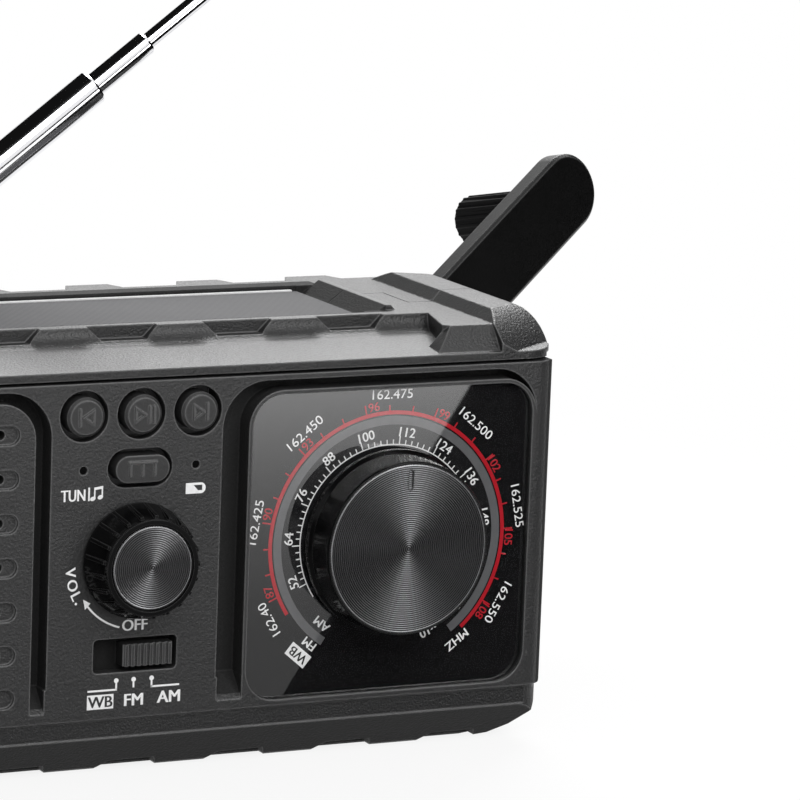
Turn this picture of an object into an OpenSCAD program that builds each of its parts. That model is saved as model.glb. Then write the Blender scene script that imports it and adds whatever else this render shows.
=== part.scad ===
// Hand crank weather radio: two moulded shells behind a moulded front panel,
// with a tuning dial, a speaker, a folding crank that drives a small
// generator, a solar panel on the deck and a telescopic antenna.
// The front faces -Y, +X is to the right, and the base stands on z = 0.

/* [Body] */
// Width of the body across its ends
body_w = 158; // [156:1:166]
// Depth of the body, front to back
body_d = 66; // [65:1:72]
// Height of the top deck above the table
deck_h = 74.2; // [73.6:0.2:78]
// Rise of the two end strips above the deck
strip_rise = 2; // [1:0.2:3]
// Wall of both shells
wall = 2.2; // [1.8:0.1:2.6]
// Place of the seam in the deck, behind the middle
seam_mid = 5.5; // [4:0.5:7]
// Place of the seam in the two ends
seam_y = -4.8; // [-6:0.2:-4]
// Width of the seam line
seam_gap = 0.2; // [0.1:0.05:0.4]
// Radius of the upright corners
corner_r = 6; // [4:0.5:8]
// Height of the sloping edges under the body
shoulder = 6.9; // [5:0.1:7.2]
// Radius of the cove under the edge of the deck
cove_r = 3; // [2:0.2:3.4]

/* [Front panel] */
// Left and right edge of the control column
column_x = [-16, 15]; // [-17:0.5:16]
// Width of the channels beside the speaker and beside the dial
channel_w = [2.8, 4.9]; // [2:0.1:5]
// Width of the channel above each island
channel_top = 1.8; // [1.2:0.1:2]
// Depth of the channels
channel_depth = 4; // [3:0.1:4.4]
// Corner radius of the dial glass
glass_r = 5.5; // [4:0.5:8]
// Rim between the glass and the channel
rim = 0.83; // [0.6:0.01:1]
// Wall of the front panel behind the controls
panel_wall = 2.5; // [2:0.1:3]
// How far the front panel stands proud of the shells
panel_proud = 0.4; // [0.2:0.1:0.6]
// Rows of slots in the speaker grille
grille_rows = 7; // [5:1:7]
// Slots in each row of the grille
grille_columns = 6; // [4:1:6]

/* [Controls] */
// Spacing of the three round buttons
button_pitch = 10.3; // [10.2:0.1:10.6]
// Radius of the round buttons
button_r = 3.35; // [3:0.05:3.4]
// Gap round the buttons
button_gap = 1; // [0.6:0.05:1]
// Travel of the buttons
button_travel = 0.8; // [0.5:0.1:1]
// Radius of the volume knob at its face
volume_r = 7.9; // [7:0.1:8.2]
// Radius of the volume knob at its foot
volume_foot_r = 9.9; // [9.4:0.1:10.3]
// Travel of the band switch from end to end
band_travel = 4.3; // [3.5:0.1:4.6]
// Radius of the tuning knob at its face
tuning_r = 15.2; // [13:0.1:16]
// Height of the tuning knob above the glass
tuning_h = 7.2; // [6:0.2:9]
// Radius of the spindles
spindle_r = 3; // [2.5:0.1:3.1]
// Running gap of shafts in their holes
running_gap = 0.05; // [0.03:0.01:0.08]

/* [Crank] */
// Distance of the crank axis from the right end
hub_inset = 14; // [14:0.5:16]
// Radius of the hub
hub_r = 10.5; // [10:0.1:10.8]
// Distance of the arm's hinge from the crank axis
hinge_offset = 7; // [6.8:0.1:7.2]
// Length of the arm from its hinge to the middle of its round end
arm_length = 75.6; // [66:0.2:80]
// Width of the arm
arm_w = 14.9; // [13:0.1:16]
// Thickness of the arm
arm_t = 4.7; // [4:0.1:4.9]
// Angle of the arm above level, seen from the front
crank_angle = 33.3; // [0:0.1:90]
// Angle of the arm away from the back
crank_tilt = 21.5; // [5:0.5:40]
// Radius of the crank knob
knob_r = 5.2; // [4.5:0.1:5.4]
// Length of the crank knob
knob_length = 17.5; // [14:0.5:18]
// Ribs round the crank knob
knob_ribs = 18; // [12:1:20]

/* [Gears] */
// Module of all the gears
gear_module = 0.6; // [0.56:0.01:0.62]
// Teeth of the gear on the crank shaft
crank_teeth = 34; // [32:1:35]
// Teeth of the small gear of the idler
idler_small_teeth = 12; // [12:1:13]
// Teeth of the large gear of the idler
idler_large_teeth = 32; // [30:1:33]
// Teeth of the pinion on the generator
generator_teeth = 10; // [10:1:11]
// Added to each centre distance as play
gear_play = 0.12; // [0.08:0.02:0.16]

/* [Antenna] */
// Angle of the antenna above level
antenna_angle = 37.4; // [5:0.1:85]
// Distance of the antenna pivot from the middle, to the left
antenna_inset = 48.3; // [44:0.1:60]
// Depth of the shelf
shelf_d = 7.2; // [7.1:0.1:7.4]
// Radius of the thickest antenna tube
tube_r = 3.25; // [3:0.05:3.3]
// Radius of the second tube and of the rod
inner_r = [2.2, 1.5]; // [1.3:0.05:2.3]
// Length of each antenna tube
tube_length = 75; // [60:1:80]
// How far the second stage and the rod are drawn out
stage_out = [12.7, 30]; // [6:0.1:40]

/* [Hidden] */
$fn = 48;

// Planes and edges of the body
front_y = -body_d / 2;
back_y = body_d / 2;
end_x = body_w / 2;
deck_front = front_y + 17.5;
deck_back = back_y - 11;
ledge_z = deck_h - 4.2;
cove_z = deck_h - cove_r;
shelf_y = back_y - shelf_d;
shelf_z = deck_h - 17.55;
hub_z = 39.5 / 74.2 * deck_h;
tab_front = front_y + 4.4;
strip_x = end_x - 11.4;
inner_back = back_y - wall;
slim = 0.02;
clear = 0.3;

// Edges of the front panel
panel_front = front_y - panel_proud;
panel_back = front_y + 6;
panel_bottom = 10.4;
panel_top = deck_h - 6.1;
panel_mid = (panel_bottom + panel_top) / 2;
dial_z = panel_mid - 1.25;
pocket_y = panel_front + panel_wall;
end_margin = 4.44;
island_w = end_x - column_x[1] - channel_w[1] - end_margin;
island_h = panel_top - panel_bottom - 3.04;
island_r = glass_r + rim;
island_x = end_x - end_margin - island_w / 2;
glass_w = island_w - 2 * rim;
glass_h = island_h - 2 * rim;
button_z = panel_top - 5.5;
mode_z = panel_top - 14.7;
volume_z = panel_mid - 1.65;
band_z = panel_bottom + 10.93;
lens_y = front_y;
lens_t = 0.8;
plate_t = 1.5;
lens_back = lens_y + lens_t;
dial_floor = lens_back + plate_t + 0.1;

// Board behind the panel and what it carries
board_front = panel_back + 9.4;
board_t = 1.6;
board_back = board_front + board_t;
board_x = [column_x[0] - 2, end_x - 13];
board_z = [panel_bottom + 2.6, panel_top - 3.1];
board_posts = [for (x = [board_x[0] + 2, board_x[1] - 3], z = [board_z[0] + 2.5, board_z[1] - 2.5]) [x, z]];
post_r = 2.4;
screw_r = 1.2;
case_posts = [for (x = [7 - end_x, end_x - 8], z = [panel_bottom + 3.6, panel_top - 14.7]) [x, z]];
case_post_r = 3;
case_screw_r = 1.5;
speaker_r = (glass_w + glass_h) / 4 - 2;

// Solar panel recess
recess_x = 51;
recess_y = [deck_front + 3, deck_back - 5.4];
recess_d = 2;

// Slots and notches
notch_pitch = 21.5;
notch_w = 12.7;
notch_d = 2.3;
base_notch = 1.6;
base_pitch = 20.4;
floor_t = wall + 1.2;

// Crank
hub_x = end_x - hub_inset;
hinge_y = back_y + 0.45 + arm_t / 2;
hub_floor = back_y - 3.1;
hub_top = back_y + 0.25;
shaft_r = 3;
bush_r = 4.5;
pin_r = 1;
root_w = 8.4;
ear_r = 2.2;
knob_at = arm_length - 7;
knob_pin_r = 1.6;
knob_foot = arm_t / 2 + clear;
stow_x = hub_x + hinge_offset - knob_at;
stow_r = knob_r + 1.2;
stow_floor = hinge_y - knob_foot - knob_length - 0.6;

// Gear train
plate_y = [back_y - 17, back_y - 15];
low_gear = [back_y - 13, back_y - 10];
high_gear = [back_y - 9.4, back_y - 7];
idler_angle = 235;
generator_angle = 190;
crank_at = [hub_x, hub_z];
idler_at = crank_at + polar(gear_module * (crank_teeth + idler_small_teeth) / 2 + gear_play, idler_angle);
generator_at = idler_at
    + polar(gear_module * (idler_large_teeth + generator_teeth) / 2 + gear_play, generator_angle);
plate_left = 33.5;
plate_right = 5;
plate_x = [hub_x - plate_left, hub_x + plate_right];
plate_z = [8.5, shelf_z + 0.35];
plate_posts = [[plate_x[0] + 2.5, plate_z[1] - 6], [plate_x[0] + 2.5, plate_z[0] + 3.5],
    [hub_x - 3, plate_z[0] + 3]];
generator_r = 12;
generator_l = plate_y[0] - board_back - 18;

// Battery, ports and torch
port_inset = 20;
port_x = port_inset - end_x;
bay_z = [9.4, hub_z - stow_r - 2.5];
cell_r = (bay_z[1] - bay_z[0]) / 2 - 1.5;
port_to_cell = 19;
cell_x = port_x + port_to_cell;
cell_l = generator_at[0] - generator_r - 7.5 - cell_x;
cell_z = (bay_z[0] + bay_z[1]) / 2;
cell_y = inner_back - cell_r - 1.7;
door_t = 1.1;
door_screw_x = cell_x + cell_l + 6.4;
port_z = 25;
port_w = 22;
port_h = 14;
port_hinge_z = port_z - port_h / 2 + 0.9;
torch_z = dial_z;
torch_r = 9.5;

// Antenna
rod_y = back_y - shelf_d / 2;
rod_z = shelf_z + clear + tube_r;
tube_start = 6;
tip_l = 5;

function polar(r, a) = [r * cos(a), r * sin(a)];
function gear_points(teeth, share = 0.42, addendum = 0.8, dedendum = 1.15) =
    let (r = teeth * gear_module / 2)
    let (half = share * PI * gear_module / 2)
    let (tip = r + addendum * gear_module)
    let (foot = r - dedendum * gear_module)
    let (tip_a = (half - addendum * gear_module * tan(20)) / tip * 180 / PI)
    let (foot_a = (half + 0.5 * dedendum * gear_module * tan(20)) / foot * 180 / PI)
    [for (i = [0:teeth - 1]) let (a = 360 * i / teeth)
        each [polar(foot, a - foot_a), polar(tip, a - tip_a), polar(tip, a + tip_a),
            polar(foot, a + foot_a)]];

// Outlines and sweeps shared by the pieces

// An outline in X and Z, drawn out along Y
module along_y(y0, y1) translate([0, y1, 0]) rotate([90, 0, 0]) linear_extrude(y1 - y0) children();

// An outline in Y and Z, drawn out along X
module along_x(x0, x1) translate([x0, 0, 0]) rotate([90, 0, 90]) linear_extrude(x1 - x0) children();

// A profile of radius and height turned about an axis that points to the front
module turned_front(x, y, z) translate([x, y, z]) rotate([90, 0, 0]) rotate_extrude() children();

// A profile of radius and height turned about an axis that points to the right
module turned_right(x, y, z) translate([x, y, z]) rotate([0, 90, 0]) rotate_extrude() children();

module rod_along_y(x, z, y0, y1, r) along_y(y0, y1) translate([x, z]) circle(r);

module round_rect(w, h, r) {
    square([w - 2 * r, h], center = true);
    square([w, h - 2 * r], center = true);
    for (sx = [-1, 1], sz = [-1, 1])
        translate([sx * (w / 2 - r), sz * (h / 2 - r)]) circle(r);
}

module rect(x, z) translate([x[0], z[0]]) square([x[1] - x[0], z[1] - z[0]]);

module both_ends() {
    children();
    mirror([1, 0, 0]) children();
}

module plan(front, back, side, r) translate([0, (front + back) / 2]) round_rect(2 * side, back - front, r);

// Body

// Outline of the body seen from its right end: ledge, cove, deck and antenna shelf
module side_outline() {
    polygon([[front_y + shoulder - 0.2, 0], [front_y, shoulder], [front_y, ledge_z],
        [deck_front - cove_r, cove_z], [shelf_y, cove_z], [shelf_y, shelf_z], [back_y, shelf_z],
        [back_y, shoulder], [back_y - shoulder + 0.2, 0]]);
    rect([deck_front, deck_back], [cove_z - 1, deck_h]);
    translate([deck_front - cove_r, cove_z]) difference() {
        square(cove_r);
        translate([0, cove_r]) circle(cove_r);
    }
    translate([deck_back, cove_z]) difference() {
        square(cove_r);
        translate([cove_r, cove_r]) circle(cove_r);
    }
}

// Outline of the body seen from the front, with its cut-off corners
module front_outline(top) {
    half = [[end_x - 12.5, 0], [end_x - 8.2, 0.5], [end_x - 4.8, 2.2], [end_x - 2.2, 4.8],
        [end_x - 0.9, 6.8], [end_x, 9], [end_x, ledge_z], [end_x - 4.8, top]];
    polygon(concat(half, [for (i = [7:-1:0]) [-half[i][0], half[i][1]]]));
}

// Drop of the rounded ends of the strip, by the share of the way to the corner of the ledge
dome_l = 8.2;
dome_h = 6.6;
function dome_drop(share) = dome_h * (0.55 * share + 0.45 * share * share);

// Slope that rounds off one end of the strip, falling to the corner of the ledge
module strip_dome(end_y, side) {
    top = deck_h + strip_rise;
    low = cove_z - 3;
    translate([strip_x + 4, end_y, 0]) mirror([0, side > 0 ? 1 : 0, 0]) rotate([0, 0, 29])
        translate([-30, 0, 0]) along_x(0, 60)
            polygon(concat([[-dome_l, low], [body_d, low], [body_d, top]],
                [for (i = [0:8]) [-dome_l * i / 8, top - dome_drop(i / 8)]]));
}

// Raised strip at the right end, with the tab of the deck that reaches forward beside it
module end_strip() {
    top = deck_h + strip_rise;
    intersection() {
        along_y(front_y, deck_back)
            polygon(concat([[strip_x, cove_z - 2], [strip_x, deck_h], [strip_x + 1.8, top]],
                [for (a = [0:15:90]) [end_x - 4 * (1 - sin(a)), top - 4.7 * (1 - cos(a))]],
                [[end_x, cove_z - 2]]));
        strip_dome(tab_front + 5.2, -1);
        strip_dome(2 * seam_y - tab_front - 5.2, 1);
    }
    translate([0, 0, cove_z - 2]) linear_extrude(deck_h - cove_z + 2)
        polygon([[strip_x - 5.6, deck_front + 1], [strip_x - 9.1, tab_front + 1], [strip_x - 8.1, tab_front],
            [strip_x + 0.5, tab_front], [strip_x + 0.5, deck_front + 1]]);
    intersection() {
        along_x(strip_x - 14, strip_x + 0.5)
            polygon([[tab_front + 1, deck_h], [tab_front, deck_h], [tab_front - 1.9, deck_h - 2],
                [tab_front - 3.6, deck_h - 4.2], [tab_front + 1, deck_h - 4.2]]);
        along_y(front_y, deck_front)
            polygon([[strip_x - 12, deck_h - 4.2], [strip_x - 8.1, deck_h], [strip_x + 0.5, deck_h],
                [strip_x + 0.5, deck_h - 4.2]]);
    }
}

// Ridge across each end of the solar panel, and the slope that leads from it down to the panel
ridge_x = [recess_x + 1.2, recess_x + 4.4, recess_x + 5.4, recess_x + 6.6];
ridge_z = [deck_h - 1.4, deck_h + 0.9];

module panel_ridge() along_y(recess_y[0] + 1, recess_y[1] - 0.3)
    polygon([[ridge_x[0], ridge_z[0]], [ridge_x[1], ridge_z[1]], [ridge_x[2], ridge_z[1]],
        [ridge_x[3], deck_h - 0.4], [ridge_x[3], ridge_z[0]]]);

module recess_slope() along_y(recess_y[0] + 1, recess_y[1] - 0.3)
    polygon([[recess_x - 1, ridge_z[0]], [ridge_x[0], ridge_z[0]], [ridge_x[1], ridge_z[1]],
        [ridge_x[1], deck_h + 2], [recess_x - 1, deck_h + 2]]);

// Tabs along the back edge of the deck
module back_tabs() for (i = [-3:2])
    translate([14.1 + notch_pitch * i, 0, cove_z]) linear_extrude(deck_h - cove_z)
        polygon([[-5.6, deck_back - 1], [-5.6, deck_back], [-4, shelf_y], [4, shelf_y], [5.6, deck_back],
            [5.6, deck_back - 1]]);

// Notches in the front edge of the deck
module deck_notches() for (i = [-4:0]) translate([46.8 + notch_pitch * i, 0, 0])
    along_y(deck_front - cove_r - 1, deck_front + 1.2)
        polygon([[-notch_w / 2 - 0.3, deck_h + 0.2], [-notch_w / 2 + 2.2, deck_h - notch_d],
            [notch_w / 2 - 2.2, deck_h - notch_d], [notch_w / 2 + 0.3, deck_h + 0.2]]);

// Notches in the front and back edges of the base
module base_notches() for (i = [-3:3], s = [-1, 1]) translate([1.6 + base_pitch * i, 0, 0])
    along_y(s * body_d / 2 - (s > 0 ? 8.6 : -4), s * body_d / 2 - (s > 0 ? 4 : -8.6))
        polygon([[-7, -1], [-3.4, base_notch], [4.8, base_notch], [6.2, -1]]);

module body_solid() {
    intersection() {
        along_x(-end_x, end_x) side_outline();
        along_y(front_y - 1, back_y + 1) front_outline(deck_h + 1);
        linear_extrude(deck_h + 1) plan(front_y, back_y, end_x, corner_r);
    }
    intersection() {
        both_ends() end_strip();
        linear_extrude(deck_h + strip_rise + 1) plan(front_y, back_y, end_x, corner_r);
    }
    back_tabs();
    both_ends() panel_ridge();
}

// Space inside the shells
module cavity() {
    top = deck_h - recess_d - wall - 0.6;
    intersection() {
        along_x(-end_x, end_x)
            polygon([[front_y + wall, shoulder + 2.4], [front_y + shoulder + 1, floor_t],
                [back_y - shoulder - 1, floor_t], [inner_back, shoulder + 2.4], [inner_back, shelf_z - wall],
                [shelf_y - wall, shelf_z - wall],
                [shelf_y - wall, top], [deck_front, top], [front_y + wall, top - 1.6]]);
        along_y(front_y, back_y)
            polygon([for (s = [1, -1]) each s > 0
                ? [[end_x - 12, floor_t], [end_x - wall, 10], [end_x - wall, top - 2], [end_x - 6, top]]
                : [[6 - end_x, top], [wall - end_x, top - 2], [wall - end_x, 10], [12 - end_x, floor_t]]]);
        linear_extrude(deck_h) plan(front_y + wall, inner_back, end_x - wall, corner_r - wall);
    }
}

// Both shells in one, before the seam parts them
module shells() difference() {
    body_solid();
    cavity();
    deck_notches();
    base_notches();
    along_y(recess_y[0], recess_y[1]) rect([-recess_x, recess_x], [deck_h - recess_d, deck_h + 3]);
    both_ends() recess_slope();
    translate([-end_x - 1, 0, torch_z]) rotate([0, 90, 0]) cylinder(r = torch_r + 0.1, h = wall + 2);
}

// Everything on one side of the seam, which steps forward at both ends
module seam_side(back) {
    side = back ? 1 : -1;
    edge = side * seam_gap / 2;
    jog = strip_x - 4.5 + edge;
    far = side * body_d;
    translate([0, 0, -1]) linear_extrude(2 * deck_h)
        polygon([[-body_w, far], [-body_w, seam_y + edge], [-jog, seam_y + edge], [-jog, seam_mid + edge],
            [jog, seam_mid + edge], [jog, seam_y + edge], [body_w, seam_y + edge], [body_w, far]]);
}

module front_shell() color([0.11, 0.11, 0.115]) difference() {
    intersection() {
        shells();
        seam_side(false);
    }
    along_y(front_y - 2, panel_back) rect([-body_w, body_w], [panel_bottom - 0.2, panel_top + 0.5]);
    along_y(panel_back - 4.3, panel_back) rect([-body_w, body_w], [panel_bottom - 1, panel_top + 1.2]);
    along_y(front_y - 1, front_y + 0.3) rect([-body_w, body_w], [shoulder + 0.1, panel_bottom]);
}

// Seat of the crank hub, pocket for the stowed knob and bosses inside the back
module rear_bosses() {
    rod_along_y(hub_x, hub_z, hub_floor - 2.9, inner_back + slim, hub_r + 0.6);
    rod_along_y(stow_x, hub_z, stow_floor - 1.6, inner_back + slim, stow_r + 1.6);
    for (p = case_posts) rod_along_y(p[0], p[1], seam_y + seam_gap / 2, inner_back + slim, case_post_r + 0.4);
    for (p = plate_posts) rod_along_y(p[0], p[1], plate_y[1], inner_back + slim, post_r + 0.1);
    rod_along_y(idler_at[0], idler_at[1], high_gear[1] + 1.2, inner_back + slim, 2.4);
    rod_along_y(door_screw_x, cell_z, back_y - 11, inner_back + slim, post_r);
}

module rear_shell() color([0.11, 0.11, 0.115]) difference() {
    union() {
        intersection() {
            shells();
            seam_side(true);
        }
        rear_bosses();
    }
    rod_along_y(hub_x, hub_z, hub_floor, back_y + 1, hub_r + 0.4);
    rod_along_y(hub_x, hub_z, hub_floor - 4, back_y + 1, bush_r);
    rod_along_y(stow_x, hub_z, stow_floor, back_y + 1, stow_r);
    rod_along_y(idler_at[0], idler_at[1], 0, inner_back, pin_r + slim);
    for (p = case_posts) {
        rod_along_y(p[0], p[1], seam_y - 1, back_y + 1, case_screw_r + 0.1);
        rod_along_y(p[0], p[1], back_y - 4, back_y + 1, case_post_r);
    }
    for (p = plate_posts) rod_along_y(p[0], p[1], 0, plate_y[1] + 9, screw_r + running_gap);
    along_y(back_y - door_t - 0.1, back_y + 1) rect(door_x(0.2), door_z(0.2));
    along_y(inner_back - 1, back_y + 1) rect([cell_x, cell_x + cell_l], door_z(-2.2));
    rod_along_y(door_screw_x, cell_z, back_y - 11, back_y, screw_r + running_gap);
    along_y(back_y - 2, back_y + 1) rect(port_span_x(0.2), port_span_z(0.2));
    along_y(inner_back - 1, back_y + 1) rect(port_span_x(-2.6), port_span_z(-3));
}

function door_x(grow) = [cell_x - 3 - grow, cell_x + cell_l + 9.4 + grow];
function door_z(grow) = [cell_z - cell_r - 2 - grow, cell_z + cell_r + 2 + grow];
function port_span_x(grow) = [port_x - port_w / 2 - grow, port_x + port_w / 2 + grow];
function port_span_z(grow) = [port_z - port_h / 2 - grow, port_z + port_h / 2 + grow];

// Front panel

// Channel that runs beside and over an island, from the edge of the column to that of the island
module channel_outline(column, gap) {
    right = island_x + island_w / 2;
    top = dial_z + island_h / 2 + channel_top;
    low = dial_z - 21.8;
    difference() {
        intersection() {
            translate([(column + right) / 2, top - 40]) round_rect(right - column, 80, 8);
            rect([column, right], [low, top]);
        }
        translate([(column + gap + right) / 2, dial_z]) round_rect(right - column - gap, island_h, island_r);
    }
}

// Slope in which the lower end of a channel runs out
module channel_ramp(column, gap) along_x(column + 0.3, column + gap)
    polygon([[panel_front - 0.1, dial_z - 26], [panel_front - 0.1, dial_z - 21.7],
        [panel_front + channel_depth, dial_z - 21.7]]);

module channel(column, gap) {
    along_y(panel_front - 1, panel_front + channel_depth) channel_outline(column, gap);
    channel_ramp(column, gap);
}

// Slots of the grille with a round hole in the middle of each
module grille_places() for (i = [0:grille_columns - 1], k = [0:grille_rows - 1])
    translate([(i - (grille_columns - 1) / 2) * 0.17 * glass_w - island_x - 0.2,
        (k - (grille_rows - 1) / 2) * 0.141 * glass_h + dial_z - 0.4])
        children();

module slot_outline(l, h) {
    square([l - h, h], center = true);
    for (s = [-1, 1]) translate([s * (l - h) / 2, 0]) circle(h / 2);
}

module panel_blank() {
    intersection() {
        along_y(panel_front, panel_back) translate([0, (panel_bottom + panel_top) / 2])
            round_rect(body_w, panel_top - panel_bottom, 1.4);
        linear_extrude(deck_h) plan(panel_front, back_y, end_x, corner_r - 1.5);
    }
    along_y(panel_back - 4, panel_back) rect([2 - end_x, end_x - 2], [panel_bottom - 0.8, panel_top + 1]);
    for (p = board_posts) rod_along_y(p[0], p[1], panel_back - slim, board_front, post_r);
    for (p = case_posts) rod_along_y(p[0], p[1], panel_back - slim, seam_y - seam_gap / 2, case_post_r);
}

module front_panel() color([0.17, 0.17, 0.175]) difference() {
    panel_blank();
    channel(column_x[1], channel_w[1]);
    mirror([1, 0, 0]) channel(-column_x[0], channel_w[0]);
    along_y(panel_front - 1, dial_floor) translate([island_x, dial_z])
        round_rect(glass_w + 0.2, glass_h + 0.2, glass_r);
    rod_along_y(island_x, dial_z, panel_front, panel_back + 1, spindle_r + 1);
    along_y(panel_front - 1, panel_front + 0.7) grille_places() slot_outline(0.123 * glass_w, 3.3);
    along_y(panel_front - 1, panel_back) grille_places() circle(0.8);
    rod_along_y(-island_x, dial_z, pocket_y - 0.6, panel_back + 1, speaker_r - 2.5);
    along_y(pocket_y, panel_back + 1)
        rect(pocket_x, [panel_bottom + 2, panel_top - 0.7]);
    for (i = [-1:1])
        rod_along_y(i * button_pitch, button_z, panel_front - 1, panel_back, button_r + button_gap);
    along_y(panel_front - 1, panel_back) translate([0, mode_z])
        slot_outline(mode_w + 2 * button_gap, 2 * mode_half + 2 * button_gap);
    for (s = [-1, 1]) rod_along_y(s * 10.2, mode_z, panel_front - 1, panel_back, pipe_r + 0.05);
    rod_along_y(0, volume_z, panel_front - 1, panel_back, spindle_r + 0.4);
    along_y(panel_front - 1, panel_back) translate([0, band_z])
        round_rect(window_w, window_h, 0.8);
    for (p = board_posts) rod_along_y(p[0], p[1], board_front - 8, board_front + 1, screw_r + running_gap);
    for (p = case_posts) rod_along_y(p[0], p[1], seam_y - 15, seam_y, case_screw_r + 0.1);
}

pipe_r = 0.65;
mode_half = 2.3;
mode_w = 9.7;
band_w = 9;
band_h = 3.8;
window_w = 15.2;
window_h = 5.85;
pocket_x = [column_x[0] + 2, column_x[1] - 1.3];

// Dial

module dial_sheet(y, t, hole_r) along_y(y, y + t) difference() {
    translate([island_x, dial_z]) round_rect(glass_w, glass_h, glass_r - 0.1);
    translate([island_x, dial_z]) circle(hole_r);
}

module dial_plate() color([0.2, 0.2, 0.2]) dial_sheet(lens_back + 0.1, plate_t, spindle_r + 1);

module dial_lens() color([0.5, 0.55, 0.6, 0.4]) dial_sheet(lens_y, lens_t, spindle_r + 2);

module tuning_knob() color([0.07, 0.07, 0.075]) difference() {
    turned_front(island_x, lens_y - clear, dial_z)
        polygon([[0, 0], [tuning_r + 0.9, 0], [tuning_r + 0.9, 1], [tuning_r + 0.4, 1.7],
            [tuning_r, tuning_h - 0.4], [tuning_r - 0.2, tuning_h], [tuning_r - 0.45, tuning_h],
            [tuning_r - 0.45, tuning_h - 0.7], [0, tuning_h - 0.7]]);
    rod_along_y(island_x, dial_z, lens_y - tuning_h + 1.4, lens_y, spindle_r + slim);
}

tuning_face = lens_y - clear - tuning_h;

module tuning_cap() color([0.45, 0.45, 0.46]) difference() {
    rod_along_y(island_x, dial_z, tuning_face, tuning_face + 0.7, tuning_r - 0.5);
    along_y(tuning_face - 1, tuning_face + 0.4) translate([island_x, dial_z + tuning_r - 3.2])
        slot_outline_up(0.9, 3.6);
}

module slot_outline_up(w, l) rotate(90) slot_outline(l, w);

module tuning_spindle() color([0.7, 0.66, 0.5])
    rod_along_y(island_x, dial_z, lens_y - tuning_h + 1.4 + slim, board_back + capacitor_l - 5, spindle_r);

capacitor_l = 12;

module tuning_capacitor() color([0.75, 0.75, 0.72]) difference() {
    along_y(board_back, board_back + capacitor_l) translate([island_x, dial_z])
        round_rect(1.3 * tuning_r, 1.3 * tuning_r, 1);
    rod_along_y(island_x, dial_z, board_back - 1, board_back + capacitor_l - 4, spindle_r + running_gap);
}

// Volume control

volume_foot = panel_front - clear;
volume_h = 6.4;
volume_ribs = 21;
volume_ring = 0.45;

// Ridge that runs up the sloping side of the volume knob and ends in a small tooth
module volume_rib(turn) translate([0, volume_foot, volume_z]) rotate([0, turn, 0]) translate([0, 0, -0.3])
    linear_extrude(0.6)
        polygon([[volume_r - 0.2, -0.5], [volume_foot_r + 0.1, -0.5], [volume_r + 1.1, 1.2 - volume_h],
            [volume_r + 0.95, 0.6 - volume_h], [volume_r - 0.2, 0.6 - volume_h]]);

module volume_knob() color([0.06, 0.06, 0.065]) difference() {
    union() {
        turned_front(0, volume_foot, volume_z)
            polygon([[0, 0], [volume_foot_r, 0], [volume_foot_r, 0.6], [volume_r + volume_ring, volume_h - 1],
                [volume_r + volume_ring, volume_h - 0.15], [volume_r + volume_ring - 0.15, volume_h],
                [volume_r - volume_ring, volume_h], [volume_r - volume_ring, volume_h - 0.6],
                [0, volume_h - 0.6]]);
        for (i = [0:volume_ribs - 1]) volume_rib(360 * i / volume_ribs);
    }
    rod_along_y(0, volume_z, volume_foot - volume_h + 1.6, volume_foot + 1, spindle_r + slim);
}

module volume_cap() color([0.45, 0.45, 0.46])
    rod_along_y(0, volume_z, volume_foot - volume_h + 0.1, volume_foot - volume_h + 0.6,
        volume_r - volume_ring - 0.35);

module volume_spindle() color([0.7, 0.66, 0.5])
    rod_along_y(0, volume_z, volume_foot - volume_h + 1.6 + slim, board_front - 2, spindle_r);

module volume_control() color([0.72, 0.72, 0.7]) difference() {
    rod_along_y(0, volume_z, board_front - 6, board_front, 7.6);
    rod_along_y(0, volume_z, board_front - 7, board_front - 1.6, spindle_r + running_gap);
}

// Buttons and band switch

button_proud = 1.2;
button_face = panel_front - button_proud;
mark_w = 0.4;
mark_h = 0.25;
flange_y = pocket_y + 0.2;
stem_end = board_front - 4.4;

module button_back(x, z) {
    along_y(flange_y, flange_y + 0.9) intersection() {
        translate([x, z]) circle(button_r + button_gap + 0.4);
        rect([pocket_x[0] + clear, pocket_x[1] - clear], [0, deck_h]);
    }
    rod_along_y(x, z, flange_y + 0.8, stem_end, 1.5);
}

module round_button(x) {
    turned_front(x, flange_y, button_z)
        polygon([[0, 0], [button_r, 0], [button_r, flange_y - button_face - 0.5],
            [button_r - 0.5, flange_y - button_face], [0, flange_y - button_face]]);
    button_back(x, button_z);
}

// Marks raised on the buttons, drawn in lines
module mark(x, z) along_y(button_face - mark_h, button_face + 0.1) translate([x, z]) children();

module bar(x) translate([x, 0]) square([mark_w, 3], center = true);

// Outline of a triangle that points to the right, with its tip at x
module triangle(x) difference() {
    polygon([[x, 0], [x - 2.3, 1.5], [x - 2.3, -1.5]]);
    polygon([[x - 0.75, 0], [x - 2.3 + mark_w, 0.78], [x - 2.3 + mark_w, -0.78]]);
}

module button_previous() color([0.1, 0.1, 0.1]) {
    round_button(-button_pitch);
    mark(-button_pitch, button_z) mirror([1, 0]) {
        triangle(0.9);
        bar(1.2);
    }
}

module button_play() color([0.1, 0.1, 0.1]) {
    round_button(0);
    mark(0, button_z) {
        triangle(0.6);
        bar(1);
        bar(1.8);
    }
}

module button_next() color([0.1, 0.1, 0.1]) {
    round_button(button_pitch);
    mark(button_pitch, button_z) {
        triangle(0.9);
        bar(1.2);
    }
}

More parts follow.
